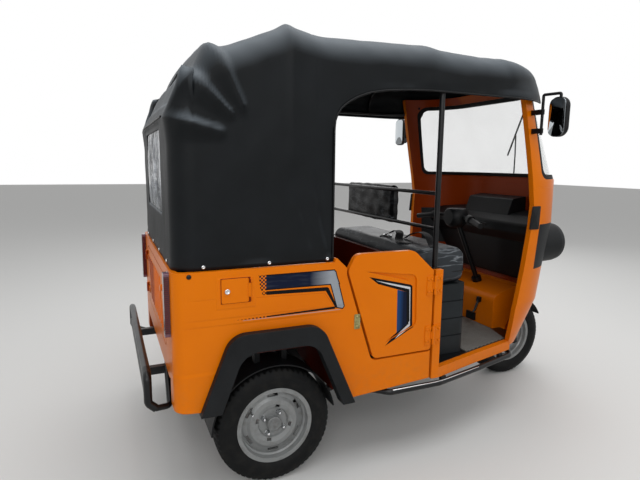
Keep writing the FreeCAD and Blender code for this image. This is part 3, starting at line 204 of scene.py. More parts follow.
def roundedRectangle(u0, u1, v0, v1, radius, steps=6):
    # Corner arcs of one radius joined round the rectangle
    turn = np.linspace(0, np.pi / 2, steps)
    centres = ((u1 - radius, v1 - radius), (u0 + radius, v1 - radius),
               (u0 + radius, v0 + radius), (u1 - radius, v0 + radius))
    return np.vstack([np.stack([u + radius * np.cos(turn + quarter * np.pi / 2),
                                v + radius * np.sin(turn + quarter * np.pi / 2)], 1)
                      for quarter, (u, v) in enumerate(centres)])


def ripple(points, scale, seed, waves=7):
    # Sum of sine waves in random directions, about -1 to 1
    rng = np.random.default_rng(seed)
    direction = unit(rng.normal(size=(waves, 3)))
    pitch = scale * rng.uniform(0.6, 1.6, waves)
    phase = rng.uniform(0, 2 * np.pi, waves)
    return np.sin(points @ (direction / pitch[:, None] * 2 * np.pi).T + phase).mean(-1) * 1.7


def puffBox(name, low, high, radius, bulge, wrinkle, pitch, seed, step, pull=(1, 1, 1)):
    # Rounded box: core box + radius * direction; each face swells by bulge * (1 - u^4)(1 - v^4)
    low, high = np.array(low), np.array(high)
    half = (high - low) / 2
    core = half - radius
    lines = []
    for c in core:
        bend = c + radius * np.tan(np.linspace(0, np.pi / 4, 7))
        flat = np.linspace(-c, c, max(int(2 * c / step), 2) + 1)
        lines.append(np.concatenate([-bend[:0:-1], flat, bend[1:]]))
    points, faces, count = [], [], 0
    for axis in range(3):
        first, second = (axis + 1) % 3, (axis + 2) % 3
        u, v = np.meshgrid(lines[first], lines[second], indexing="ij")
        for sign in (-1, 1):
            grid = np.zeros(u.shape + (3,))
            grid[..., axis], grid[..., first], grid[..., second] = sign * half[axis], u, v
            points.append(grid.reshape(-1, 3))
            faces.append(gridFaces(*u.shape).reshape(-1, 4)[:, ::sign] + count)
            count += u.size
    cube = np.vstack(points)
    inner = np.clip(cube, -core, core)
    out = unit(cube - inner)
    spread = 1 - np.minimum(np.abs(cube) / half, 1) ** 4
    swell = np.stack([spread[:, 1] * spread[:, 2], spread[:, 2] * spread[:, 0], spread[:, 0] * spread[:, 1]], 1)
    place = inner + out * radius + out * swell * bulge
    place += out * wrinkle * ripple(place * pull, pitch, seed)[:, None]
    return addMesh(name, place + (low + high) / 2, np.vstack(faces))


def joined(name, pieces):
    # Several pieces of one material as a single mesh
    work = bmesh.new()
    for piece in pieces:
        work.from_mesh(piece.data)
        bpy.data.objects.remove(piece)
    mesh = bpy.data.meshes.new(name)
    work.to_mesh(mesh)
    work.free()
    return placed(name, mesh)


def thicken(piece, thickness, offset):
    modifier = piece.modifiers.new("Solidify", "SOLIDIFY")
    modifier.thickness = thickness
    modifier.offset = offset


def srgb(red, green, blue):
    # Screen colour 0..255 to the shader's linear colour
    share = np.array([red, green, blue]) / 255
    linear = np.where(share > 0.04045, ((share + 0.055) / 1.055) ** 2.4, share / 12.92)
    return tuple(float(c) for c in linear) + (1.0,)


class Value:
    # One socket with arithmetic; every operation adds its Math node
    def __init__(self, tree, socket):
        self.tree = tree
        self.socket = socket

    def math(self, operation, *values):
        node = self.tree.nodes.new("ShaderNodeMath")
        node.operation = operation
        for slot, value in zip(node.inputs, values):
            joinSocket(self.tree, slot, value)
        return Value(self.tree, node.outputs[0])

    def __add__(self, other):
        return self.math("ADD", self, other)

    def __sub__(self, other):
        return self.math("SUBTRACT", self, other)

    def __mul__(self, other):
        return self.math("MULTIPLY", self, other)

    def __truediv__(self, other):
        return self.math("DIVIDE", self, other)

    def __rsub__(self, other):
        return self.math("SUBTRACT", other, self)

    def __rtruediv__(self, other):
        return self.math("DIVIDE", other, self)

    def __abs__(self):
        return self.math("ABSOLUTE", self)

    __radd__ = __add__
    __rmul__ = __mul__

    def least(self, other):
        return self.math("MINIMUM", self, other)

    def most(self, other):
        return self.math("MAXIMUM", self, other)

    def over(self, other):
        return self.math("GREATER_THAN", self, other)

    def wave(self, pitch):
        return self.math("SINE", self * (2 * math.pi / pitch))

    def ramp(self, low, high):
        # 0 below low, 1 above high, straight between
        return ((self - low) / (high - low)).least(1).most(0)


def joinSocket(tree, slot, value):
    if isinstance(value, Value):
        tree.links.new(value.socket, slot)
    else:
        slot.default_value = value


class Finish:
    # One material; node() makes any node from its type, settings and the values of its sockets
    def __init__(self, name, color, roughness, metallic=0.0, **shader):
        self.material = bpy.data.materials.new(name)
        self.material.use_nodes = True
        self.tree = self.material.node_tree
        self.shader = self.tree.nodes["Principled BSDF"]
        self.set(BaseColor=color, Roughness=roughness, Metallic=metallic, **shader)
        self.position = self.node("ShaderNodeTexCoord", out="Object")
        self.x, self.y, self.z = self.split(self.position)

    def set(self, **sockets):
        spaced = {"BaseColor": "Base Color", "CoatWeight": "Coat Weight", "SpecularLevel": "Specular IOR Level"}
        for key, value in sockets.items():
            joinSocket(self.tree, self.shader.inputs[spaced.get(key, key)], value)

    def node(self, kind, settings=None, out=0, whole=False, **sockets):
        node = self.tree.nodes.new(kind)
        for key, value in (settings or {}).items():
            setattr(node, key, value)
        for key, value in sockets.items():
            joinSocket(self.tree, node.inputs[key], value)
        return node if whole else Value(self.tree, node.outputs[out])

    def split(self, vector):
        parts = self.node("ShaderNodeSeparateXYZ", whole=True, Vector=vector)
        return [Value(self.tree, part) for part in parts.outputs]

    def outward(self):
        # The surface's own direction, in the piece's x, y and z
        return self.split(self.node("ShaderNodeTexCoord", out="Normal"))

    def stretched(self, x, y, z):
        return self.node("ShaderNodeMapping", Vector=self.position, Scale=(x, y, z))

    def noise(self, scale, detail=3, roughness=0.55, where=None):
        return self.node("ShaderNodeTexNoise", Vector=where or self.position, Scale=scale, Detail=detail,
                         Roughness=roughness)

    def cells(self, scale):
        return self.node("ShaderNodeTexVoronoi", out="Distance", Vector=self.position, Scale=scale)

    def mix(self, first, second, factor):
        # Colour mix; in colour mode the two colours are sockets 6 and 7, and the result is output 2
        node = self.node("ShaderNodeMix", {"data_type": "RGBA"}, whole=True)
        for place, value in ((0, factor), (6, first), (7, second)):
            joinSocket(self.tree, node.inputs[place], value)
        return Value(self.tree, node.outputs[2])

    def bump(self, height, distance, strength=1.0, normal=None):
        sockets = {"Height": height, "Distance": distance, "Strength": strength}
        if normal is not None:
            sockets["Normal"] = normal
        self.set(Normal=self.node("ShaderNodeBump", **sockets))

    def softEdges(self, radius):
        return self.node("ShaderNodeBevel", {"samples": 4}, Radius=radius)

    def panel(self, corners):
        # Least distance to the edges of a convex outline, positive inside: corners (x from the rear axle, z) clockwise
        best = None
        for (x0, z0), (x1, z1) in zip(corners, corners[1:] + corners[:1]):
            length = math.hypot(x1 - x0, z1 - z0)
            inward = (self.x - (x0 + rearAxleX)) * ((z1 - z0) / length) - (self.z - z0) * ((x1 - x0) / length)
            best = inward if best is None else best.least(inward)
        return best


def dress(piece, finish):
    piece.data.materials.clear()
    piece.data.materials.append(finish.material)


def attach(piece, finish, body, slot, *replaced):
    # Material and body of a piece, and the frame's nodes that it stands for; the paint slot is not used
    dress(piece, finish)
    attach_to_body(piece, body)
    if replaced:
        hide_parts(*replaced)


# Orange enamel and its stickers
paintLook = {"orange": srgb(226, 118, 2), "deep": srgb(204, 92, 1), "dust": srgb(150, 112, 74),
             "inside": srgb(142, 52, 6), "seam": srgb(120, 34, 0), "blue": srgb(12, 22, 46),
             "steelBlue": srgb(26, 62, 108), "silver": srgb(150, 155, 162), "black": srgb(9, 9, 11),
             "white": srgb(206, 208, 210), "roughness": 0.30, "specular": 0.12, "softEdge": 0.0025,
             "checkPitch": 0.015, "border": 0.0045, "dustZ": (0.33, 0.60), "frontX": 0.66}


def orangePaint(name):
    # Enamel: slow colour drift, faint orange peel, dust low down; faces that look into the cab are painted darker
    # brown as shade
    paint = Finish(name, paintLook["orange"], paintLook["roughness"], SpecularLevel=paintLook["specular"])
    drift = paint.noise(2.6, 4)
    color = paint.mix(paintLook["orange"], paintLook["deep"], drift.ramp(0.35, 0.8) * 0.35)
    dust = (1 - paint.z.ramp(*paintLook["dustZ"])) * paint.noise(38, 6, 0.7).ramp(0.45, 0.75) * 0.22
    color = paint.mix(color, paintLook["dust"], dust)
    normalX, normalY = paint.outward()[:2]
    outward = (paint.x - paintLook["frontX"]).most(0) * normalX + paint.y * normalY
    # Painted shade: faces turned into the cab are mixed towards the dark brown-red inside colour
    paint.color = paint.mix(color, paintLook["inside"], 1 - outward.ramp(-0.10, -0.02))
    paint.set(BaseColor=paint.color, Roughness=drift * 0.1 + dust * 0.8 + (paintLook["roughness"] - 0.05))
    paint.facing = outward.ramp(0.1, 0.3)
    return paint


def press(paint, relief=None):
    # Pressed steps in millimetres plus the enamel's own texture
    relief = paint.noise(3, 2) * 0.3 if relief is None else relief
    peel = paint.noise(260, 2) * 0.06
    paint.bump(relief + peel, 0.001, 1.0, paint.softEdges(paintLook["softEdge"]))


bodyPaint = orangePaint("orangeEnamel")
press(bodyPaint)
# Painted shade: the passenger seat base and partition get a dark red-brown copy of the orange enamel, standing for the
# shade inside the cab
shadedCabPaint = orangePaint("orangeEnamelCabShade")
shadedCabPaint.set(BaseColor=shadedCabPaint.mix(srgb(92, 22, 6), srgb(52, 12, 5), shadedCabPaint.noise(3, 3).ramp(0.3, 0.8)))
press(shadedCabPaint)

quarterArt = {"bar": [(-0.080, 0.922), (0.240, 0.922), (0.262, 0.866), (-0.074, 0.869)],
              "hook": [(0.209, 0.922), (0.238, 0.922), (0.246, 0.915), (0.287, 0.765), (0.281, 0.757),
                       (0.257, 0.763)],
              "stripe": [(-0.070, 0.8605), (0.209, 0.854), (0.216, 0.849), (0.201, 0.838), (-0.073, 0.846)],
              "leg": [(0.205, 0.851), (0.216, 0.849), (0.258, 0.760), (0.249, 0.760), (0.200, 0.842)],
              "spear": [(-0.189, 0.756), (0.246, 0.767), (0.247, 0.757), (-0.10, 0.7535)],
              "pinLine": [(-0.15, 0.7520), (0.270, 0.7535), (0.271, 0.7505), (-0.15, 0.7500)],
              "fine": [(-0.094, 0.840), (0.198, 0.831), (0.199, 0.8285), (-0.094, 0.8375)],
              "fineLeg": [(0.195, 0.831), (0.199, 0.831), (0.238, 0.773), (0.235, 0.773)],
              "flap": [(-0.232, 0.922), (-0.120, 0.922), (-0.120, 0.827), (-0.232, 0.827)],
              "flapPad": [(-0.248, 0.925), (-0.104, 0.925), (-0.097, 0.803), (-0.252, 0.803)]}

# Pressed steps as (from, to): heights, lengths from the rear axle, or distance inside the flap's pad
quarterPress = {"crease": (0.7655, 0.7715), "lowCrease": (0.739, 0.7455), "creaseStart": (-0.40, -0.33),
                "creaseEnd": (0.262, 0.30), "pad": (-0.002, 0.004), "ledge": (0.845, 0.850),
                "ledgeStart": (-0.37, -0.33), "ledgeEnd": (-0.256, -0.248), "skirt": (0.548, 0.562),
                "skirtEnd": (-0.27, -0.24)}


def quarterStickers(paint):
    # Blue band with a chequered tail and a silver hook, a black stripe under it and a spear on the crease
    bar, hook, stripe, leg, spear, pinLine, fine, fineLeg, flap, flapPad = [
        paint.panel(corners) for corners in quarterArt.values()]
    x = paint.x - rearAxleX
    tail = 1 - x.ramp(-0.055, -0.053)
    pitch = paintLook["checkPitch"]
    worn = 1 - tail * (x.wave(pitch) * (paint.z - 0.002).wave(pitch)).over(0)
    streak = paint.noise(60, 3, 0.6, paint.stretched(0.15, 1, 1))
    fill = paint.mix(paintLook["blue"], paintLook["silver"],
                     (x.ramp(0.13, 0.225) + streak * 0.3 - 0.15).least(1).most(0))
    band = bar.most(hook)
    # Painted shadow: the thin deep-orange line along the fine outlines stands for the shadow cast by the embossed edge
    color = paint.mix(paint.color, paintLook["deep"], fine.most(fineLeg).over(0) * 0.8)
    color = paint.mix(color, paintLook["black"], band.over(-paintLook["border"]) * worn)
    color = paint.mix(color, fill, band.over(0) * worn)
    color = paint.mix(color, paintLook["black"], stripe.most(leg).most(spear).over(0) * worn)
    color = paint.mix(color, paintLook["silver"], pinLine.over(0) * 0.8)
    color = paint.mix(color, paintLook["seam"], flap.over(-0.0025) * (1 - flap.over(0.004)))
    paint.set(BaseColor=paint.mix(paint.color, color, paint.facing))

    def pressed(value, key):
        return value.ramp(*quarterPress[key])

    creases = pressed(paint.z, "crease") * 1.6 + pressed(paint.z, "lowCrease") * 1.8
    creases = creases * pressed(x, "creaseStart") * (1 - pressed(x, "creaseEnd"))
    ledge = pressed(paint.z, "ledge") * pressed(x, "ledgeStart") * (1 - pressed(x, "ledgeEnd")) * 1.2
    skirt = (1 - pressed(paint.z, "skirt")) * (1 - pressed(x, "skirtEnd")) * 2.6
    press(paint, creases + pressed(flapPad, "pad") * 1.8 + ledge + skirt)


quarterPaint = orangePaint("orangeEnamelQuarter")
quarterStickers(quarterPaint)

doorArt = {"blue": [[(0.549, 0.812), (0.597, 0.798), (0.604, 0.637), (0.553, 0.606)]],
           "black": [[(0.405, 0.881), (0.622, 0.828), (0.633, 0.818), (0.597, 0.798), (0.450, 0.846)],
                     [(0.596, 0.815), (0.622, 0.827), (0.633, 0.819), (0.640, 0.629), (0.604, 0.637)],
                     [(0.604, 0.650), (0.640, 0.650), (0.640, 0.629), (0.495, 0.559), (0.515, 0.580)]],
           "white": [[(0.436, 0.863), (0.614, 0.819), (0.621, 0.812), (0.614, 0.808), (0.50, 0.841)],
                     [(0.612, 0.818), (0.621, 0.812), (0.628, 0.634), (0.620, 0.638)],
                     [(0.616, 0.642), (0.628, 0.634), (0.545, 0.585), (0.560, 0.600)]]}


def doorStickers(paint):
    # C-shaped stroke in a pressed recess: black with a pale line in it and a blue upright inside
    blueFade = (paint.x - rearAxleX).ramp(0.563, 0.585)
    fills = {"blue": paint.mix(paintLook["steelBlue"], paintLook["blue"], blueFade),
             "black": paintLook["black"], "white": paintLook["white"]}
    color = paint.color
    for tone, outlines in doorArt.items():
        shape = paint.panel(outlines[0])
        for corners in outlines[1:]:
            shape = shape.most(paint.panel(corners))
        color = paint.mix(color, fills[tone], shape.over(0))
    paint.set(BaseColor=paint.mix(paint.color, color, paint.facing))
    press(paint)


doorPaint = orangePaint("orangeEnamelDoor")
doorStickers(doorPaint)
print("paint mixed")


# Metals, plastics and rubbers: two screen tones mixed by a noise (scale, detail) between the span's two levels.
# Grain is a noise and cells a pebbled surface, both with relief as (distance, strength)
finishLook = {
    "satinBlackPaint": {"tones": ((11, 12, 14), (30, 29, 28)), "drift": (14, 4), "span": (0.5, 0.8), "share": 0.5,
                        "rough": 0.2, "swing": 0.25, "specular": 0.3, "grain": (220, 2), "relief": (0.0003, 0.2),
                        "soft": 0.002},
    "greyMouldedPlastic": {"tones": ((15, 17, 19), (28, 30, 32)), "rough": 0.42, "cells": 620, "soft": 0.006},
    "blackMouldedPlastic": {"tones": ((10, 11, 12), (22, 23, 25)), "rough": 0.36, "cells": 700, "soft": 0.003},
    "seatBoxPlastic": {"tones": ((20, 24, 26), (32, 37, 40)), "rough": 0.38, "cells": 520, "soft": 0.004},
    "blackRubber": {"tones": ((11, 11, 12), (26, 26, 26)), "rough": 0.5, "cells": 300, "soft": 0.002},
    "blackPiping": {"tones": ((8, 9, 10), (22, 23, 25)), "drift": (40, 3), "rough": 0.42, "swing": 0,
                    "specular": 0.2, "cells": 400, "relief": (0.0004, 0.4)},
    "tyreRubber": {"tones": ((13, 14, 15), (34, 33, 31)), "drift": (26, 5), "span": (0.45, 0.85), "rough": 0.5,
                   "swing": 0.25, "specular": 0.15, "grain": (240, 3), "relief": (0.0004, 0.3)},
    "silverWheelEnamel": {"tones": ((134, 136, 136), (84, 82, 78)), "drift": (24, 5), "span": (0.5, 0.85),
                          "share": 0.6, "rough": 0.26, "metallic": 0.2, "specular": 0.3, "grain": (300, 2),
                          "relief": (0.0002, 0.25), "soft": 0.0015},
    "hubCapEnamel": {"tones": ((122, 124, 124), (60, 58, 54)), "drift": (50, 5), "span": (0.45, 0.8), "share": 0.7,
                     "rough": 0.34, "swing": 0, "metallic": 0.3, "specular": 0.3, "grain": (50, 5),
                     "relief": (0.0006, 0.3)},
    "brightPlate": {"tones": ((212, 214, 216), (140, 138, 132)), "drift": (90, 4), "span": (0.55, 0.9),
                    "share": 0.6, "rough": 0.06, "swing": 0.16, "metallic": 1.0, "specular": 0.5},
    "zincPlate": {"tones": ((168, 162, 112), (112, 100, 54)), "drift": (60, 4), "span": (0.35, 0.75),
                  "rough": 0.2, "swing": 0.3, "metallic": 0.7, "specular": 0.5},
    "castAlloy": {"tones": ((96, 97, 98), (54, 52, 48)), "drift": (18, 5), "span": (0.4, 0.8), "rough": 0.5,
                  "swing": 0, "metallic": 0.8, "specular": 0.5, "grain": (160, 5), "relief": (0.0012, 0.5),
                  "soft": 0.006}}


def mottled(name, tones, rough, drift=(9, 4), span=(0.3, 0.8), share=1, swing=0.2, metallic=0.0, specular=0.18,
            grain=None, cells=None, relief=(0.0004, 0.35), soft=None):
    # The same noise mixes the tones and moves the roughness: rough + swing * noise
    dark, light = [srgb(*tone) for tone in tones]
    finish = Finish(name, dark, rough, metallic, SpecularLevel=specular)
    noise = finish.noise(*drift)
    finish.set(BaseColor=finish.mix(dark, light, noise.ramp(*span) * share))
    if swing:
        finish.set(Roughness=noise * swing + rough)
    if grain or cells:
        height = finish.noise(*grain) if grain else finish.cells(cells)
        finish.bump(height, *relief, finish.softEdges(soft) if soft else None)
    return finish


(satinBlack, greyPlastic, blackPlastic, seatBoxPlastic, rubber, piping, tyreRubber, silver, hubEnamel, chrome, zinc,
 castAlloy) = [mottled(name, **look) for name, look in finishLook.items()]
mirrorGlass = Finish("mirrorGlass", srgb(190, 196, 200), 0.03, 1.0)
mirrorGlass.set(Roughness=mirrorGlass.noise(20, 3) * 0.04 + 0.01)

matRubber = Finish("ribbedMat", srgb(96, 96, 95), 0.75, SpecularLevel=0.2)
matRibs = matRubber.y.wave(0.0085)
# Painted light and shade: rib crests lighter and grooves darker, following the ribs' wave
matRibShading = matRubber.mix(srgb(84, 83, 81), srgb(142, 139, 134), matRibs.ramp(-0.5, 0.8))
matDirt = matRubber.noise(16, 6, 0.65).ramp(0.4, 0.8) * 0.5
matRubber.set(BaseColor=matRubber.mix(matRibShading, srgb(88, 82, 74), matDirt))
matRubber.bump(matRibs, 0.0016, 0.7)

# Glass, film and lenses
glass = Finish("clearGlass", srgb(206, 218, 216), 0.03)
glass.set(Alpha=glass.noise(3, 2).ramp(0.3, 0.8) * 0.04 + 0.13)

film = Finish("clearVinylFilm", srgb(214, 222, 232), 0.08, CoatWeight=1.0)
filmCrease = film.noise(9, 5, 0.6, film.stretched(1, 1.3, 0.45))
filmFleck = film.noise(34, 5, 0.7, film.stretched(1, 1.2, 0.5))
film.set(Alpha=(filmCrease.ramp(0.42, 0.72) * 0.5 + filmFleck.ramp(0.5, 0.75) * 0.3 + 0.14).least(0.9))
film.bump(filmCrease * 0.7 + filmFleck * 0.3, 0.02, 0.6)

lampLens = Finish("lampLens", srgb(225, 230, 234), 0.05, CoatWeight=1.0)
lampFlutes = lampLens.y.wave(0.012)
lampLens.set(Alpha=lampFlutes * 0.05 + 0.3)
lampLens.bump(lampFlutes, 0.0012, 0.4)

redLens = Finish("redLens", srgb(70, 6, 12), 0.1, SpecularLevel=0.3, CoatWeight=0.3)
redBars = redLens.z.wave(0.008)
redRim = abs(redLens.z - 0.825).ramp(0.108, 0.116) * 0.7
redColor = redLens.mix(srgb(54, 4, 12), srgb(98, 14, 20), redBars.ramp(-0.2, 1))
redLens.set(BaseColor=redLens.mix(redColor, srgb(120, 92, 110), redRim))
redLens.bump(redBars, 0.001, 0.35)

nodeFinish = {bodyPaint: ["rear_panel", "rear_hatch", "fuel_flap", "side_sill_right", "side_sill_left",
                          "front_shell", "screen_frame", "front_wheel_tub"],
              shadedCabPaint: ["passenger_seat_base", "partition"],
              quarterPaint: ["side_panel_right", "side_panel_left"], doorPaint: ["door_right", "door_left"],
              satinBlack: ["floor_pan", "chassis_frame", "rear_suspension", "grab_frame", "roof_frame",
                           "rear_guard", "step_bars", "foot_pedal", "front_fork"],
              greyPlastic: ["arch_flares", "lamp_fascia"],
              blackPlastic: ["rear_mudguards", "wiper", "dashboard", "mirrors", "handlebar", "front_mudguard"],
              seatBoxPlastic: ["driver_seat_box"], rubber: ["screen_seal"], matRubber: ["floor_mat"],
              silver: ["front_rim", "rear_rim_right", "rear_rim_left"], glass: ["windscreen"],
              lampLens: ["headlamps"], redLens: ["tail_lamps"], castAlloy: ["engine_block"]}
for finish, names in nodeFinish.items():
    for name in names:
        dress(nodes[name], finish)
print("finishes on the frame")

# Vinyl hood
vinyl = Finish("charcoalVinyl", srgb(17, 20, 23), 0.5, SpecularLevel=0.15)
vinylGrain = vinyl.cells(520)
vinylDrift = vinyl.noise(4.5, 5)
vinylChalk = vinyl.noise(30, 6, 0.7)
vinylWorn = vinyl.mix(srgb(19, 22, 25), srgb(40, 42, 44), vinylChalk.ramp(0.55, 0.85) * 0.3)
vinylBase = vinyl.mix(srgb(11, 14, 16), vinylWorn, vinylDrift.ramp(0.3, 0.8))
# Painted highlight: faces turned upwards are mixed towards a pale grey, standing for the overhead light's sheen on the
# hood's top
vinyl.set(BaseColor=vinyl.mix(vinylBase, srgb(104, 112, 119), vinyl.outward()[2].ramp(0.03, 0.75) * 0.62),
          Roughness=vinylDrift * 0.16 + vinylGrain * 0.1 + 0.38)
vinyl.bump(vinylGrain * 0.6 + vinylChalk * 0.4, 0.0006, 0.45)

# The lengths along x are counted from the rear axle; windowRows are the grid's rows at the window's two edges
hood = {"half": 0.600, "backX": -0.405, "backRadius": 0.085, "noseX": 1.588, "noseRadius": 0.42, "lean": 0.432,
        "leanZ": 1.672, "leanX": (1.0, 0.25), "shoulder": 0.115, "noseShoulder": 0.045, "hem": 0.956, "edgeX": 0.240,
        "brow": 0.024, "visor": 1.757, "visorHalf": 0.50, "visorEase": 0.04, "visorX": 1.2,
        "windowHalf": 0.30, "windowLow": 1.15, "windowHigh": 1.49,
        "windowRows": (13, 33), "evenHalf": 0.40, "evenSpan": 0.10, "thickness": 0.003, "crownRise": 0.020,
        "topEase": 0.020, "spineBack": 0.14, "spineFront": 0.06,
        "profileX": [-0.42, -0.324, -0.236, -0.172, 0.063, 0.206, 0.45, 0.709, 0.809, 1.043, 1.223, 1.46, 1.60],
        "profileZ": [1.500, 1.672, 1.776, 1.790, 1.888, 1.862, 1.868, 1.876, 1.864, 1.852, 1.858, 1.835, 1.828],
        "hemX": [0.240, 0.243, 0.252, 0.270, 0.30, 0.34, 0.40, 0.48, 0.58, 0.70, 0.90, 1.6],
        "hemZ": [1.500, 1.530, 1.556, 1.582, 1.606, 1.628, 1.650, 1.664, 1.672, 1.677, 1.676, 1.673],
        "lowRows": 36, "highRows": 13, "arcRows": 12, "crownRows": 18,
        "ridge": 0.028, "ridges": [((-0.131, 1.559), (-0.236, 1.776)), ((-0.176, 1.536), (-0.324, 1.672)),
                                   ((-0.214, 1.473), (-0.405, 1.520))],
        "bow": 0.009, "bows": [(0.063, 1.0, 0.022), (0.709, 0.35, 0.05), (1.043, 0.3, 0.05)],
        "pulls": [(0.228, 0.20, 0.008), (0.165, 0.30, 0.004)], "pullWidth": 0.014, "pullZ": 0.97,
        "slack": 0.0026, "slackZ": 1.62, "drape": 0.004, "broadRipple": (0.0020, 0.42, 5),
        "fineRipple": (0.0008, 0.11, 8), "seamX": 0.166, "seamZ": 1.55, "seamDepth": 0.0018, "hemSeam": 0.034,
        "hemSeamDepth": 0.0022, "seamWidth": 0.004, "flatHalf": 0.33, "flatZ": (1.12, 1.505)}
leastGap = 0.006
backBand = 0.01
tiny = 1e-6


def topLine(x):
    # Height of the crown's edge along the hood, eased by a short running mean
    spread = np.linspace(-hood["topEase"], hood["topEase"], 9)
    return np.interp(np.asarray(x)[..., None] + spread, hood["profileX"], hood["profileZ"]).mean(-1)


def crownLine(x, y):
    # The crown rises a little towards its middle: top line + rise * (1 - (y / half)^2)
    return topLine(x) + hood["crownRise"] * (1 - np.clip(np.abs(y) / hood["half"], 0, 1) ** 2)


def hemLine(x):
    # Lower edge ahead of the side opening's rear corner
    return np.interp(x, hood["hemX"], hood["hemZ"])


def hoodOutline():
    # Plan outline of the right half from the tail's middle to the nose's: x, y and outward direction
    half, corner, window, noseRadius = [hood[key] for key in ("half", "backRadius", "windowHalf", "noseRadius")]
    across = np.concatenate([np.linspace(0, -window, 15), np.linspace(-window, corner - half, 11)[1:]])
    back = np.stack([np.full(len(across), hood["backX"]), across, -np.ones(len(across)), 0 * across], 1)
    turn = np.linspace(np.pi, 1.5 * np.pi, 10)[1:]
    bend = np.stack([hood["backX"] + corner * (1 + np.cos(turn)), corner - half + corner * np.sin(turn),
                     np.cos(turn), np.sin(turn)], 1)
    finer = 0.10
    along = np.concatenate([np.linspace(hood["backX"] + corner, hood["edgeX"], 64)[1:],
                            hood["edgeX"] + finer * np.linspace(0, 1, 12)[1:] ** 2,
                            np.linspace(hood["edgeX"] + finer, hood["noseX"] - noseRadius, 52)[1:]])
    side = np.stack([along, np.full(len(along), -half), 0 * along, -np.ones(len(along))], 1)
    turn = np.linspace(1.5 * np.pi, 2 * np.pi, 26)[1:]
    nose = np.stack([hood["noseX"] - noseRadius * (1 - np.cos(turn)), noseRadius - half + noseRadius * np.sin(turn),
                     np.cos(turn), np.sin(turn)], 1)
    across = np.linspace(noseRadius - half, 0, 8)[1:]
    front = np.stack([np.full(len(across), hood["noseX"]), across, np.ones(len(across)), 0 * across], 1)
    return np.vstack([back, bend, side, nose, front])


def hoodEdges(x, y, opening):
    # Heights of the hem (higher over the side opening and under the visor) and of the opening's upper edge
    visor = rise(np.abs(y), hood["visorHalf"] + hood["visorEase"] / 2, -hood["visorEase"]) * (x > hood["visorX"])
    visor = visor ** 2 * (3 - 2 * visor)
    hem = np.where(opening, hemLine(x) + (hood["visor"] - hemLine(x)) * visor, hood["hem"])
    return hem, np.where(opening, hem, np.minimum(hemLine(hood["edgeX"]), topLine(x) - hood["brow"]))


def wallRows(x, y, hem, middle, wall):
    # Heights of the rows up the wall, moved at the tail so that two of them are the window's edges
    low = np.linspace(0, 1, hood["lowRows"])
    high = np.linspace(0, 1, hood["highRows"] + 1)[1:]
    rows = np.hstack([hem[:, None] + (middle - hem)[:, None] * low, middle[:, None] + (wall - middle)[:, None] * high])
    lowRow, highRow = hood["windowRows"]
    index = np.arange(rows.shape[1])
    share = rise(index, highRow, rows.shape[1] - 1 - highRow)
    below = np.interp(index, (0, lowRow, highRow), (hood["hem"], hood["windowLow"], hood["windowHigh"]))
    target = np.where(index > highRow, hood["windowHigh"] + (wall[:, None] - hood["windowHigh"]) * share, below)
    tail = rise(np.abs(y), hood["evenHalf"], -hood["evenSpan"]) * (x < hood["backX"] + backBand)
    return rows + (target - rows) * tail[:, None]


def hoodGrid():
    # Each column of the closed outline runs up the wall, round the shoulder and in to the spine
    right = hoodOutline()
    x, y, outX, outY = np.vstack([right, right[-2:0:-1] * (1, -1, 1, -1)]).T
    opening = x > hood["edgeX"] + tiny
    hem, middle = hoodEdges(x, y, opening)
    noseShare = rise(x, hood["noseX"] - hood["noseRadius"], hood["noseRadius"])
    radius = hood["shoulder"] + (hood["noseShoulder"] - hood["shoulder"]) * noseShare ** 0.8
    radius = np.minimum(radius, topLine(x) - middle - leastGap)
    insetX, insetY = x - outX * radius, y - outY * radius
    top = crownLine(insetX, insetY)
    wall = np.where(x < hood["backX"] + 0.08, np.maximum(topLine(x), middle + 2 * leastGap), top - radius)
    wall = np.minimum(wall, top - leastGap)
    rows = wallRows(x, y, hem, middle, wall)
    legs = np.stack([*np.broadcast_arrays(x[:, None], y[:, None], rows)], -1)
    turn = np.linspace(0, np.pi / 2, hood["arcRows"] + 1)[None, 1:]
    inward = radius[:, None] * (1 - np.cos(turn))
    arc = np.stack([x[:, None] - outX[:, None] * inward, y[:, None] - outY[:, None] * inward,
                    wall[:, None] + (top - wall)[:, None] * np.sin(turn)], -1)
    spine = np.clip(x, hood["backX"] + hood["spineBack"], hood["noseX"] - hood["noseRadius"] - hood["spineFront"])
    share = np.linspace(0, 1, hood["crownRows"] + 1)[None, 1:]
    crownX = insetX[:, None] + (spine - insetX)[:, None] * share
    crownY = insetY[:, None] * (1 - share)
    crown = np.stack([crownX, crownY, crownLine(crownX, crownY)], -1)
    grid = np.concatenate([legs, arc, crown], 1)
    grid[..., 0] -= hood["lean"] * np.maximum(grid[..., 2] - hood["leanZ"], 0) * rise(grid[..., 0], *hood["leanX"])
    keep = np.ones((len(x), grid.shape[1] - 1), bool)
    keep[opening | np.roll(opening, -1), :hood["lowRows"] - 1] = False
    inWindow = (np.abs(y) < hood["windowHalf"] + tiny) & (x < hood["backX"] + backBand)
    keep[inWindow & (np.abs(np.roll(y, -1)) < hood["windowHalf"] + tiny), slice(*hood["windowRows"])] = False
    return grid, keep


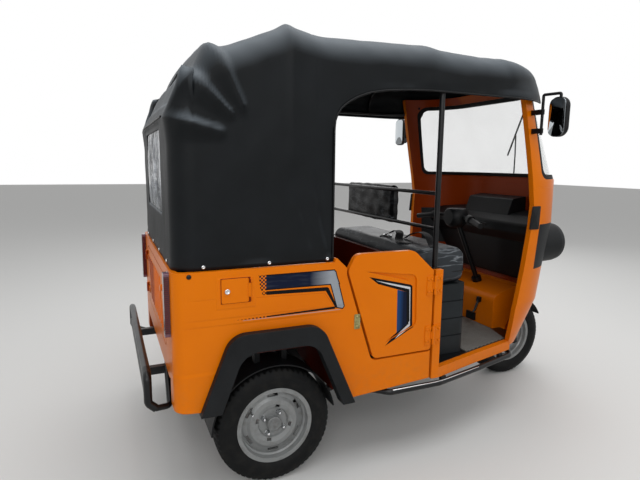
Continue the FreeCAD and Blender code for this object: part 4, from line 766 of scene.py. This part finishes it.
def ridgeHeight(points):
    # Cloth held out by each rear bow: a sharp tent along the bow, hollow towards the next one
    lift = np.zeros(points.shape[:-1])
    for (endX, endZ), (topX, topZ) in hood["ridges"]:
        run = np.array([topX - endX, topZ - endZ])
        length = np.hypot(*run)
        run = run / length
        offX, offZ = points[..., 0] - endX, points[..., 2] - endZ
        along = (offX * run[0] + offZ * run[1]) / length
        across = offX * run[1] - offZ * run[0]
        climb = np.clip(along, 0, 1)
        width = np.where(across > 0, 0.014 + 0.022 * climb, 0.035 + 0.065 * climb)
        tent = np.clip(1 - np.abs(across) / width, 0, 1) ** 1.25
        lift = np.maximum(lift, tent * rise(along, -0.12, 0.12) ** 2 * (0.75 + 0.25 * climb))
    return lift


def bowHeight(points):
    # Soft ridges over the upright bows: strength * exp(-|(x - place) / width|^1.5), fading down the wall
    return sum(strength * np.exp(-np.abs((points[..., 0] - place) / width) ** 1.5)
               for place, strength, width in hood["bows"]) * rise(points[..., 2], 1.35, 0.45)


def foldHeight(points):
    # Long shallow pulls down the wall, and one crossing down to the opening's lower corner
    x, z = points[..., 0], points[..., 2]
    slack = hood["slack"] * (0.5 + 0.5 * np.tanh((hood["slackZ"] - z) / 0.12))
    lines = np.sin((x + 0.22 * (z - 1)) * 17 + 1.3 * np.sin(z * 3.1)) * slack
    for foot, slope, depth in hood["pulls"]:
        pull = x - (foot - (z - hood["pullZ"]) * slope)
        lines -= depth * np.exp(-(pull / hood["pullWidth"]) ** 2) * rise(z, hood["pullZ"], 0.1) * rise(z, 1.36, -0.2)
    drape = hood["drape"] * np.sin(x * 9 - z * 14) * rise(x, 0.6, 0.3) * rise(z, 1.84, -0.1)
    return lines + drape + sum(height * ripple(points, scale, seed)
                               for height, scale, seed in (hood["broadRipple"], hood["fineRipple"]))


def hoodLift(points):
    # Everything that stands off the smooth hood, held down at the hem and round the window, less its seams
    x, y, z = points[..., 0], np.abs(points[..., 1]), points[..., 2]
    sideShare = rise(y[:, :1], hood["half"] - 0.02, 0.02)
    lift = hood["ridge"] * ridgeHeight(points) * (0.3 + 0.7 * sideShare) + hood["bow"] * bowHeight(points)
    lowZ, highZ = hood["flatZ"]
    windowEdge = rise(y, hood["flatHalf"], 0.06) + rise(z, lowZ, -0.05) + rise(z, highZ, 0.02) \
        + (x > hood["backX"] + 2 * backBand)
    lift = (lift + foldHeight(points)) * rise(z - z[:, :1], 0.006, 0.03) * np.clip(windowEdge, 0.05, 1)
    hemSeam = np.exp(-((z - hood["hem"] - hood["hemSeam"]) / hood["seamWidth"]) ** 2) * (x < hood["edgeX"])
    seam = np.exp(-((x - hood["seamX"]) / hood["seamWidth"]) ** 2) * (z > hood["seamZ"])
    return lift - hood["hemSeamDepth"] * hemSeam - hood["seamDepth"] * seam


hoodPoints, hoodKeep = hoodGrid()
hoodOut = unit(np.cross(np.roll(hoodPoints, -1, 0) - np.roll(hoodPoints, 1, 0), np.gradient(hoodPoints, axis=1)))
hoodOut[:, -2:] = (0, 0, 1)
hoodShell = hoodPoints + hoodOut * hoodLift(hoodPoints)[..., None] + (rearAxleX, 0, 0)
hoodSkin = gridPiece("hoodSkin", hoodShell, closeRows=True, keep=hoodKeep, closed=False)
thicken(hoodSkin, hood["thickness"], -1)
attach(hoodSkin, vinyl, "body", "hood_vinyl", "canopy")

# Binding round both side openings and over the tail
footX, footY = hoodPoints[:, 0, 0], hoodPoints[:, 0, 1]
rightColumns = np.where((footY < 0) & (footX > hood["edgeX"] + tiny))[0]
bindings = []
for columns in (rightColumns, (len(hoodPoints) - rightColumns) % len(hoodPoints)):
    hemRun = hoodShell[columns, hood["lowRows"] - 1]
    upright = hoodShell[columns[0], :hood["lowRows"]].copy()
    upright[:, 2] = np.linspace(hood["hem"] + 0.004, hemRun[0, 2], len(upright))
    upright[:, 0] = rearAxleX + hood["edgeX"]
    bindings.append(tube("binding", np.vstack([upright[:-1], hemRun]), 0.0042, 10))
backColumns = np.where((footX < hood["backX"] + backBand) & (np.abs(footY) < 0.46))[0]
backColumns = backColumns[np.argsort(footY[backColumns])]
backRow = hood["lowRows"] + hood["highRows"] - 1
backRun = hoodShell[backColumns, backRow] + hoodOut[backColumns, backRow] * 0.002
bindings.append(tube("binding", backRun, 0.0038, 10))
attach(joined("hoodBinding", bindings), piping, "body", "hood_vinyl")

stud = {"side": [(0, 0), (0.0075, 0), (0.0078, 0.0016), (0.0062, 0.0036), (0.0035, 0.0042), (0.003, 0.0034),
                 (0, 0.0032)],
        "back": [(0, 0), (0.0075, 0), (0.0078, 0.0016), (0.0062, 0.0036), (0, 0.0042)],
        "x": (-0.294, -0.036, 0.215), "y": (-0.42, -0.14, 0.14, 0.42), "height": hood["hem"] + 0.014, "count": 20}
places = [(rearAxleX + hood["backX"] - 0.0005, y, stud["height"]) for y in stud["y"]]
studs = [turned("stud", stud["back"], places, (-1, 0, 0), stud["count"])]
for out, word in sides:
    places = [(rearAxleX + x, out * (hood["half"] + 0.0005), stud["height"]) for x in stud["x"]]
    studs.append(turned("stud", stud["side"], places, (0, out, 0), stud["count"]))
attach(joined("snapStuds", studs), chrome, "body", "silver_paint")
print("hood trim done")

# Rear window film: x = plane - swell * (1 - u^4)(1 - v^4) * (0.75 + 0.6 * crinkle)
windowWrap = {"half": 0.312, "low": 1.138, "high": 1.502, "x": -1.1555, "swell": 0.013, "thickness": 0.0007}
across, upward = np.meshgrid(np.linspace(-1, 1, 91), np.linspace(-1, 1, 61), indexing="ij")
middleZ, halfZ = (windowWrap["low"] + windowWrap["high"]) / 2, (windowWrap["high"] - windowWrap["low"]) / 2
filmGrid = np.stack([0 * across, across * windowWrap["half"], middleZ + upward * halfZ], -1)
hold = (1 - across ** 4) * (1 - upward ** 4)
crinkle = ripple(filmGrid * (1, 1.5, 0.5), 0.07, 31) * 0.6 + ripple(filmGrid * (1, 1, 0.8), 0.028, 12) * 0.25
filmGrid[..., 0] = windowWrap["x"] - windowWrap["swell"] * hold * (0.75 + crinkle * 0.6)
rearWindowFilm = gridPiece("rearWindowFilm", filmGrid, closed=False)
thicken(rearWindowFilm, windowWrap["thickness"], 0)
attach(rearWindowFilm, film, "body", "window_film", "rear_window")


# Seats
def seatCover(name, dark, light, highlightShare, gloss):
    # Vinyl with a clear wrap over it: pale streaks where the wrap folds, a painted highlight of the light on the folds
    cover = Finish(name, dark, gloss, SpecularLevel=0.22)
    broad = cover.noise(5, 3, 0.5, cover.stretched(0.6, 0.5, 1.6))
    fold = cover.noise(10, 4, 0.55, cover.stretched(0.3, 0.8, 1.9))
    foldHighlight = (1 - abs(fold - 0.52) * 34).most(0) * broad.ramp(0.42, 0.6)
    color = cover.mix(dark, light, broad.ramp(0.25, 0.8))
    cover.set(BaseColor=cover.mix(color, srgb(150, 156, 162), foldHighlight * highlightShare),
              Roughness=broad * 0.2 + (gloss - 0.1))
    cover.bump(fold * 0.8 + broad * 0.5, 0.006, 0.5)
    return cover


wrappedVinyl = seatCover("wrappedSeatVinyl", srgb(30, 33, 36), srgb(46, 51, 56), 0.55, 0.50)
blackWrap = seatCover("blackWrap", srgb(8, 9, 10), srgb(13, 14, 15), 0.32, 0.34)
benchVinyl = seatCover("benchVinyl", srgb(20, 21, 24), srgb(36, 38, 42), 0.0, 0.42)
webbing = Finish("seatBeltWebbing", srgb(9, 9, 10), 0.62, SpecularLevel=0.2)
weave = webbing.x.wave(0.004) * webbing.y.wave(0.004)
webbing.set(BaseColor=webbing.mix(srgb(7, 7, 8), srgb(28, 28, 30), weave.ramp(-0.2, 0.9)))
webbing.bump(weave, 0.0006, 0.4)

# Low and high are the corners of each cushion's box
cushions = {
    "driverCushion": {"low": (-0.007, -0.494, 0.7735), "high": (0.277, 0.494, 0.951), "radius": 0.048,
                      "bulge": 0.006, "wrinkle": 0.0022, "pitch": 0.10, "seed": 4, "step": 0.010,
                      "pull": (1.4, 0.6, 1)},
    "driverBackPad": {"low": (0.0333, -0.163, 1.053), "high": (0.0793, 0.368, 1.247), "radius": 0.021,
                      "bulge": 0.004, "wrinkle": 0.0028, "pitch": 0.055, "seed": 9, "step": 0.007,
                      "pull": (1, 0.7, 1.3)},
    "passengerCushion": {"low": (-0.932, -0.578, 0.622), "high": (-0.483, 0.578, 0.731), "radius": 0.038,
                         "bulge": 0.007, "wrinkle": 0.0015, "pitch": 0.12, "seed": 14, "step": 0.012},
    "passengerBackPad": {"low": (-1.052, -0.578, 0.622), "high": (-0.948, 0.578, 1.147), "radius": 0.038,
                         "bulge": 0.006, "wrinkle": 0.0015, "pitch": 0.12, "seed": 21, "step": 0.012}}
welts = {"driverWelt": (-0.0085, 0.2795, 0.4965, 0.838, 0.0042), "benchWelt": (-0.934, -0.481, 0.580, 0.703, 0.004)}


def seatCushion(name, finish, node):
    piece = puffBox(name, **cushions[name])
    attach(piece, finish, "body", "seat_vinyl", node)


seatCushion("driverCushion", wrappedVinyl, "driver_cushion")
seatCushion("driverBackPad", blackWrap, "driver_backrest")
seatCushion("passengerCushion", benchVinyl, "passenger_cushion")
seatCushion("passengerBackPad", benchVinyl, "passenger_backrest")
for name, (x0, x1, halfY, height, radius) in welts.items():
    # Welt round the cushion's upper edge, waving slightly: z = height + 0.0015 * sin(23 y)
    ring = roundedRectangle(x0, x1, -halfY, halfY, 0.05, 8)
    path = np.column_stack([ring, height + 0.0015 * np.sin(ring[:, 1] * 23)])
    attach(tube(name, path, radius, 10, closed=True), piping, "body", "seat_vinyl")

# Seat belt lying in two loops on the cushion, with its tongue
belt = {"width": 0.042, "thickness": 0.0022, "lower": 0.0058, "tongueHeight": 0.9575, "tongueDepth": 0.011,
        "tongue": (0.066, 0.098, -0.075, -0.020, 0.006),
        "loops": [[(0.050, -0.02, 0.966), (0.085, -0.05, 0.980), (0.104, -0.10, 1.004), (0.090, -0.16, 0.998),
                   (0.060, -0.20, 0.972), (0.045, -0.25, 0.965), (0.060, -0.31, 0.966)],
                  [(0.120, -0.16, 0.966), (0.140, -0.20, 0.994), (0.150, -0.27, 1.014), (0.146, -0.34, 1.002),
                   (0.130, -0.40, 0.970), (0.108, -0.45, 0.965)]]}
straps = [ribbon("strap", smoothPath(path, 9) - (0, 0, belt["lower"]), belt["width"], belt["thickness"])
          for path in belt["loops"]]
attach(joined("strapLoops", straps), webbing, "body", "seat_vinyl")
beltTongue = slab("beltTongue", roundedRectangle(*belt["tongue"]),
                  lambda u, v, w: np.stack([u, v, belt["tongueHeight"] + w], 1), belt["tongueDepth"], 0.002)
attach(beltTongue, chrome, "body", "silver_paint")
print("window film, seats and belt made")

# Tyres and wheel details; each profile row is radius, then length along the axle
tyreShape = {"columns": 480, "blocks": 60, "depth": 0.0055, "treadHalf": 0.0585, "treadFloor": 0.232,
             "shoulder": [(0.254, 0.0), (0.2538, 0.020), (0.2527, 0.040), (0.2508, 0.050), (0.2478, 0.0566),
                          (0.2400, 0.0625), (0.2220, 0.0695), (0.2060, 0.0725)],
             "wall": [(0.2060, 0.0725), (0.1880, 0.0700), (0.1700, 0.0620), (0.1600, 0.0560), (0.1530, 0.0520)],
             "bead": [(0.1522, 0.046), (0.1560, 0.036), (0.1580, 0.018)],
             "rings": [(0.221, 0.0022), (0.178, 0.003)], "ringHeight": 0.0012}


def treadDepth(turn, along):
    # Two zigzag grooves, shoulder slots at every pitch, and fine slots across the middle rib
    pitch = turn * tyreShape["blocks"] / (2 * np.pi)
    side = np.abs(along)
    zigzag = 0.0022 * np.abs((pitch * 2) % 2 - 1)
    groove = 1 - smoothStep(np.abs(side - 0.0175 - zigzag) - 0.0026, 0.0016)
    slot = 1 - smoothStep(np.abs((pitch + 0.25 * np.sign(along)) % 1 - 0.5) - 0.17, 0.10)
    slot = slot * smoothStep(side - 0.030, 0.003)
    sipe = (1 - smoothStep(np.abs((pitch * 2 + along * 60) % 1 - 0.5) - 0.10, 0.10)) * 0.5 * (side < 0.016)
    return np.maximum(np.maximum(groove, slot), sipe) * (1 - smoothStep(side - tyreShape["treadHalf"], 0.006))


def tyrePiece(name, centre, body, node):
    # Section turned about the axle: radius less the tread's depth, plus raised rings on the sidewalls
    fine = np.concatenate([np.linspace(0, tyreShape["treadHalf"], 25), np.linspace(0.0615, 0.0695, 4)])
    radius, along = np.array(tyreShape["shoulder"]).T
    outer = np.stack([np.interp(fine, along, radius), fine], 1)
    wall = np.array(tyreShape["wall"])
    wall = np.stack([np.interp(np.linspace(0, 4, 17), range(5), wall[:, i]) for i in range(2)], 1)
    half = np.vstack([outer, wall, tyreShape["bead"]])
    section = np.vstack([half[::-1] * (1, -1), half[1:]])
    rings = sum(np.exp(-((section[:, 0] - place) / width) ** 2) for place, width in tyreShape["rings"])
    onWall = np.abs(section[:, 0] - wall[0, 0]) < 0.045
    section[:, 1] += np.sign(section[:, 1]) * rings * tyreShape["ringHeight"] * onWall
    turn = np.linspace(0, 2 * np.pi, tyreShape["columns"], endpoint=False)[:, None]
    radius, along = section[None, :, 0], section[None, :, 1]
    reach = radius - tyreShape["depth"] * treadDepth(turn, along) * (radius > tyreShape["treadFloor"])
    grid = np.stack([centre[0] + reach * np.cos(turn), centre[1] + np.broadcast_to(along, reach.shape),
                     centre[2] + reach * np.sin(turn)], -1)
    attach(gridPiece(name, grid, closeRows=True, closeCols=True), tyreRubber, body, "tyre_rubber", node)


hub = {"cap": [(0, 0.0463), (0.0322, 0.0463), (0.0332, 0.0475), (0.0328, 0.0500), (0.0300, 0.0520),
               (0.0255, 0.0524), (0.0235, 0.0512), (0.0120, 0.0518), (0, 0.0520)],
       "nut": [(0, 0.0264), (0.0126, 0.0264), (0.0126, 0.0285), (0.0112, 0.0300), (0.0112, 0.0400),
               (0.0090, 0.0432), (0.0072, 0.0480), (0.0040, 0.0508), (0, 0.0516)],
       "valve": [(0, -0.006), (0.0052, -0.006), (0.0052, 0.004), (0.0034, 0.006), (0.0034, 0.016),
                 (0.0042, 0.0165), (0.0042, 0.026), (0, 0.0265)],
       "nuts": 4, "nutCircle": 0.050, "nutTurn": 60, "valveX": -0.098, "valveOut": 0.0385, "valveZ": 0.062}
wheels = [("front", (frontAxleX, 0, wheelHeight), -1, "front_wheel", "front_tyre"),
          ("rearRight", (rearAxleX, -halfTrack, wheelHeight), -1, "rear_wheel_right", "rear_tyre_right"),
          ("rearLeft", (rearAxleX, halfTrack, wheelHeight), 1, "rear_wheel_left", "rear_tyre_left")]
for name, centre, out, body, node in wheels:
    tyrePiece(name + "Tyre", centre, body, node)
    axle = (0, out, 0)
    attach(turned(name + "HubCap", hub["cap"], centre, axle, 56), hubEnamel, body, "silver_paint")
    nutAngle = np.radians(hub["nutTurn"]) + 2 * np.pi / hub["nuts"] * np.arange(hub["nuts"])
    nutPlaces = centre + hub["nutCircle"] * np.stack([np.cos(nutAngle), 0 * nutAngle, np.sin(nutAngle)], 1)
    attach(turned(name + "LugNuts", hub["nut"], nutPlaces, axle, 6, sharpAngle=30), chrome, body, "silver_paint")
    valveFoot = (centre[0] + hub["valveX"], centre[1] + out * hub["valveOut"], centre[2] + hub["valveZ"])
    attach(turned(name + "Valve", hub["valve"], valveFoot, axle, 16), chrome, body, "silver_paint")
print("tyres and hubs made")

# Small fittings: turned heads, plates as (x from the rear axle, z), and their places
heads = {"bolt": [(0, 0), (0.0062, 0), (0.0064, 0.0012), (0.0052, 0.0030), (0.0022, 0.0040), (0, 0.0041)],
         "lock": [(0, 0), (0.0105, 0), (0.0108, 0.0012), (0.0092, 0.0030), (0.0070, 0.0034), (0.0066, 0.0024),
                  (0, 0.0024)],
         "clip": [(0, 0), (0.009, 0), (0.0093, 0.0014), (0.006, 0.0034), (0, 0.0038)],
         "plug": [(0, 0), (0.0085, 0), (0.0088, 0.001), (0.0074, 0.0028), (0, 0.0034)]}
hinge = {"Leaf": (0.713, 0.731), "Post": (0.763, 0.781), "z": (0.551, 0.607, 0.788, 0.844), "y": 0.624}
latch = {"x": (0.338, 0.366), "z": (0.656, 0.722), "screwX": 0.352, "screwZ": (0.668, 0.710), "y": 0.6183,
         "depth": 0.0025}
mirror = {"y": (0.640, 0.732), "z": (1.504, 1.676), "corner": 0.026, "x": 0.5968, "depth": 0.0024}
jointCover = {"outline": [(1.372, 1.036), (1.440, 1.036), (1.444, 1.156), (1.384, 1.156)], "corner": 0.006,
              "face": 0.5501, "bend": 0.35, "bendX": 1.39, "depth": 0.004}
stepLine = {"run": [(0.540, 0.6265), (0.800, 0.6285), (1.090, 0.5605)], "z": 0.3445, "bend": 0.06, "radius": 0.0026}


def jointPlace(side):
    # The shell's corner: y = face - (bend - sqrt(bend^2 - (x - start)^2)), plus the depth
    flat, bend = jointCover["face"] - jointCover["bend"], jointCover["bend"]
    start = rearAxleX + jointCover["bendX"]
    return lambda u, v, w: np.stack(
        [u, side * (flat + np.sqrt(bend ** 2 - np.maximum(u - start, 0) ** 2) + w), v], 1)


coverCorners = np.array(jointCover["outline"])
coverRing = roundPath(np.vstack([coverCorners[[3]], coverCorners, coverCorners[[0]]]), jointCover["corner"], 4)[1:-1]
latchOutline = roundedRectangle(rearAxleX + latch["x"][0], rearAxleX + latch["x"][1], *latch["z"], 0.004)
mirrorOutline = roundedRectangle(*mirror["y"], *mirror["z"], mirror["corner"], 8)
for side, word in sides:
    out = (0, side, 0)
    for leaf, body in (("Leaf", "door_" + word.lower()), ("Post", "body")):
        places = [(rearAxleX + x, side * hinge["y"], z) for x in hinge[leaf] for z in hinge["z"]]
        bolts = turned("hinge" + leaf + "Bolts" + word, heads["bolt"], places, out, 14)
        attach(bolts, bodyPaint, body, "orange_paint")
    plate = slab("latchPlate" + word, latchOutline, lambda u, v, w: np.stack([u, side * (latch["y"] + w), v], 1),
                 latch["depth"], 0.0006)
    attach(plate, zinc, "body", "engine_metal")
    screws = [(rearAxleX + latch["screwX"], side * (latch["y"] + 0.0023), z) for z in latch["screwZ"]]
    attach(turned("latchScrews" + word, heads["bolt"], screws, out, 14), zinc, "body", "engine_metal")
    reflector = slab("mirrorGlass" + word, mirrorOutline, lambda u, v, w: np.stack([mirror["x"] - w, side * u, v], 1),
                     mirror["depth"], 0.0008)
    attach(reflector, mirrorGlass, "body", "clear_glass")
    # Black cover over the joint between the lower shell and the pillar
    cover = slab("jointCover" + word, coverRing + (rearAxleX, 0), jointPlace(side), jointCover["depth"], 0.001)
    attach(cover, blackPlastic, "body", "black_plastic")
    # Pale highlight strip along the step bar
    run = roundPath([(rearAxleX + x, side * y, stepLine["z"]) for x, y in stepLine["run"]], stepLine["bend"], 9)
    attach(tube("stepLine" + word, run, stepLine["radius"], 8), chrome, "body", "silver_paint")

right = (0, -1, 0)
flapLock = turned("flapLock", heads["lock"], (rearAxleX - 0.210, -0.6253, 0.874), right, 32)
attach(flapLock, chrome, "fuel_flap", "silver_paint")
clipPlaces = [(rearAxleX - 0.351, side * 0.6183, 0.941) for side, word in sides]
attach(turned("hemClips", heads["clip"], clipPlaces, right, 16), satinBlack, "body", "black_paint")
pillarPlug = turned("pillarPlug", heads["plug"], (0.613, 0.4683, 1.735), right, 20)
attach(pillarPlug, piping, "body", "black_plastic")
print("small fittings made")

# Stage, light and camera
view = {"place": (-1.3767, -2.4488, 1.3593), "yaw": 23.48, "pitch": -8.72, "roll": 0.67, "lens": 27.99}
lamps = {"overheadPanel": {"place": (0, -0.6, 5.2), "target": (0, 0, 0.8), "size": (5, 5), "power": 165},
         "nearSidePanel": {"place": (-2.2, -5.2, 3.4), "target": (-0.2, 0, 0.9), "size": (4, 2.5), "power": 94},
         "farSidePanel": {"place": (3.2, 4.6, 3.2), "target": (0, 0, 0.9), "size": (4, 2.5), "power": 60}}
stage = {"half": 30, "color": (0.72, 0.72, 0.71, 1), "background": 1.0, "light": 0.42}


def addFloor():
    half = stage["half"]
    floor = addMesh("paleFloor", [(-half, -half, 0), (half, -half, 0), (half, half, 0), (-half, half, 0)],
                    [(0, 1, 2, 3)], closed=False, smooth=False)
    finish = Finish("paleFloorPaint", stage["color"], 0.85)
    finish.bump(finish.noise(40, 3), 0.0005, 0.2)
    dress(floor, finish)


def aim(thing, place, ahead, right, up):
    # A camera or lamp looks along its own -Z, with its own X to the right
    matrix = np.eye(4)
    matrix[:3] = np.stack([right, up, -ahead, place], 1)
    thing.matrix_world = Matrix(matrix.tolist())


def addCamera():
    # Looking along +Y turned towards +X by yaw, tipped by pitch, rolled about the line of sight
    yaw, pitch, roll = [math.radians(view[key]) for key in ("yaw", "pitch", "roll")]
    ahead = np.array([math.sin(yaw) * math.cos(pitch), math.cos(yaw) * math.cos(pitch), math.sin(pitch)])
    right = np.array([math.cos(yaw), -math.sin(yaw), 0])
    up = np.cross(right, ahead)
    data = bpy.data.cameras.new("photoCamera")
    data.lens = view["lens"]
    data.sensor_width = 36
    data.clip_end = 200
    camera = placed("photoCamera", data)
    aim(camera, view["place"], ahead, right * math.cos(roll) + up * math.sin(roll),
        up * math.cos(roll) - right * math.sin(roll))
    bpy.context.scene.camera = camera


def addLamp(name, place, target, size, power):
    data = bpy.data.lights.new(name, "AREA")
    data.shape = "RECTANGLE"
    data.size, data.size_y = size
    data.energy = power
    ahead = unit(np.subtract(target, place))
    right = unit(np.cross(ahead, (0, 0, 1)))
    aim(placed(name, data), place, ahead, right, np.cross(right, ahead))


def addWorld():
    # White where the camera, a reflection or glass sees it, and dimmer as light
    world = bpy.data.worlds.new("studio")
    bpy.context.scene.world = world
    world.use_nodes = True
    tree = world.node_tree
    path = tree.nodes.new("ShaderNodeLightPath")
    camera, glossy, through = [Value(tree, path.outputs["Is " + kind + " Ray"])
                               for kind in ("Camera", "Glossy", "Transmission")]
    strength = camera.most(glossy).most(through) * (stage["background"] - stage["light"]) + stage["light"]
    background = tree.nodes["Background"]
    background.inputs["Color"].default_value = (1, 1, 1, 1)
    joinSocket(tree, background.inputs["Strength"], strength)


addFloor()
addCamera()
addWorld()
for name, lamp in lamps.items():
    addLamp(name, **lamp)
bpy.context.scene.view_settings.view_transform = "Standard"
print("camera and light set")
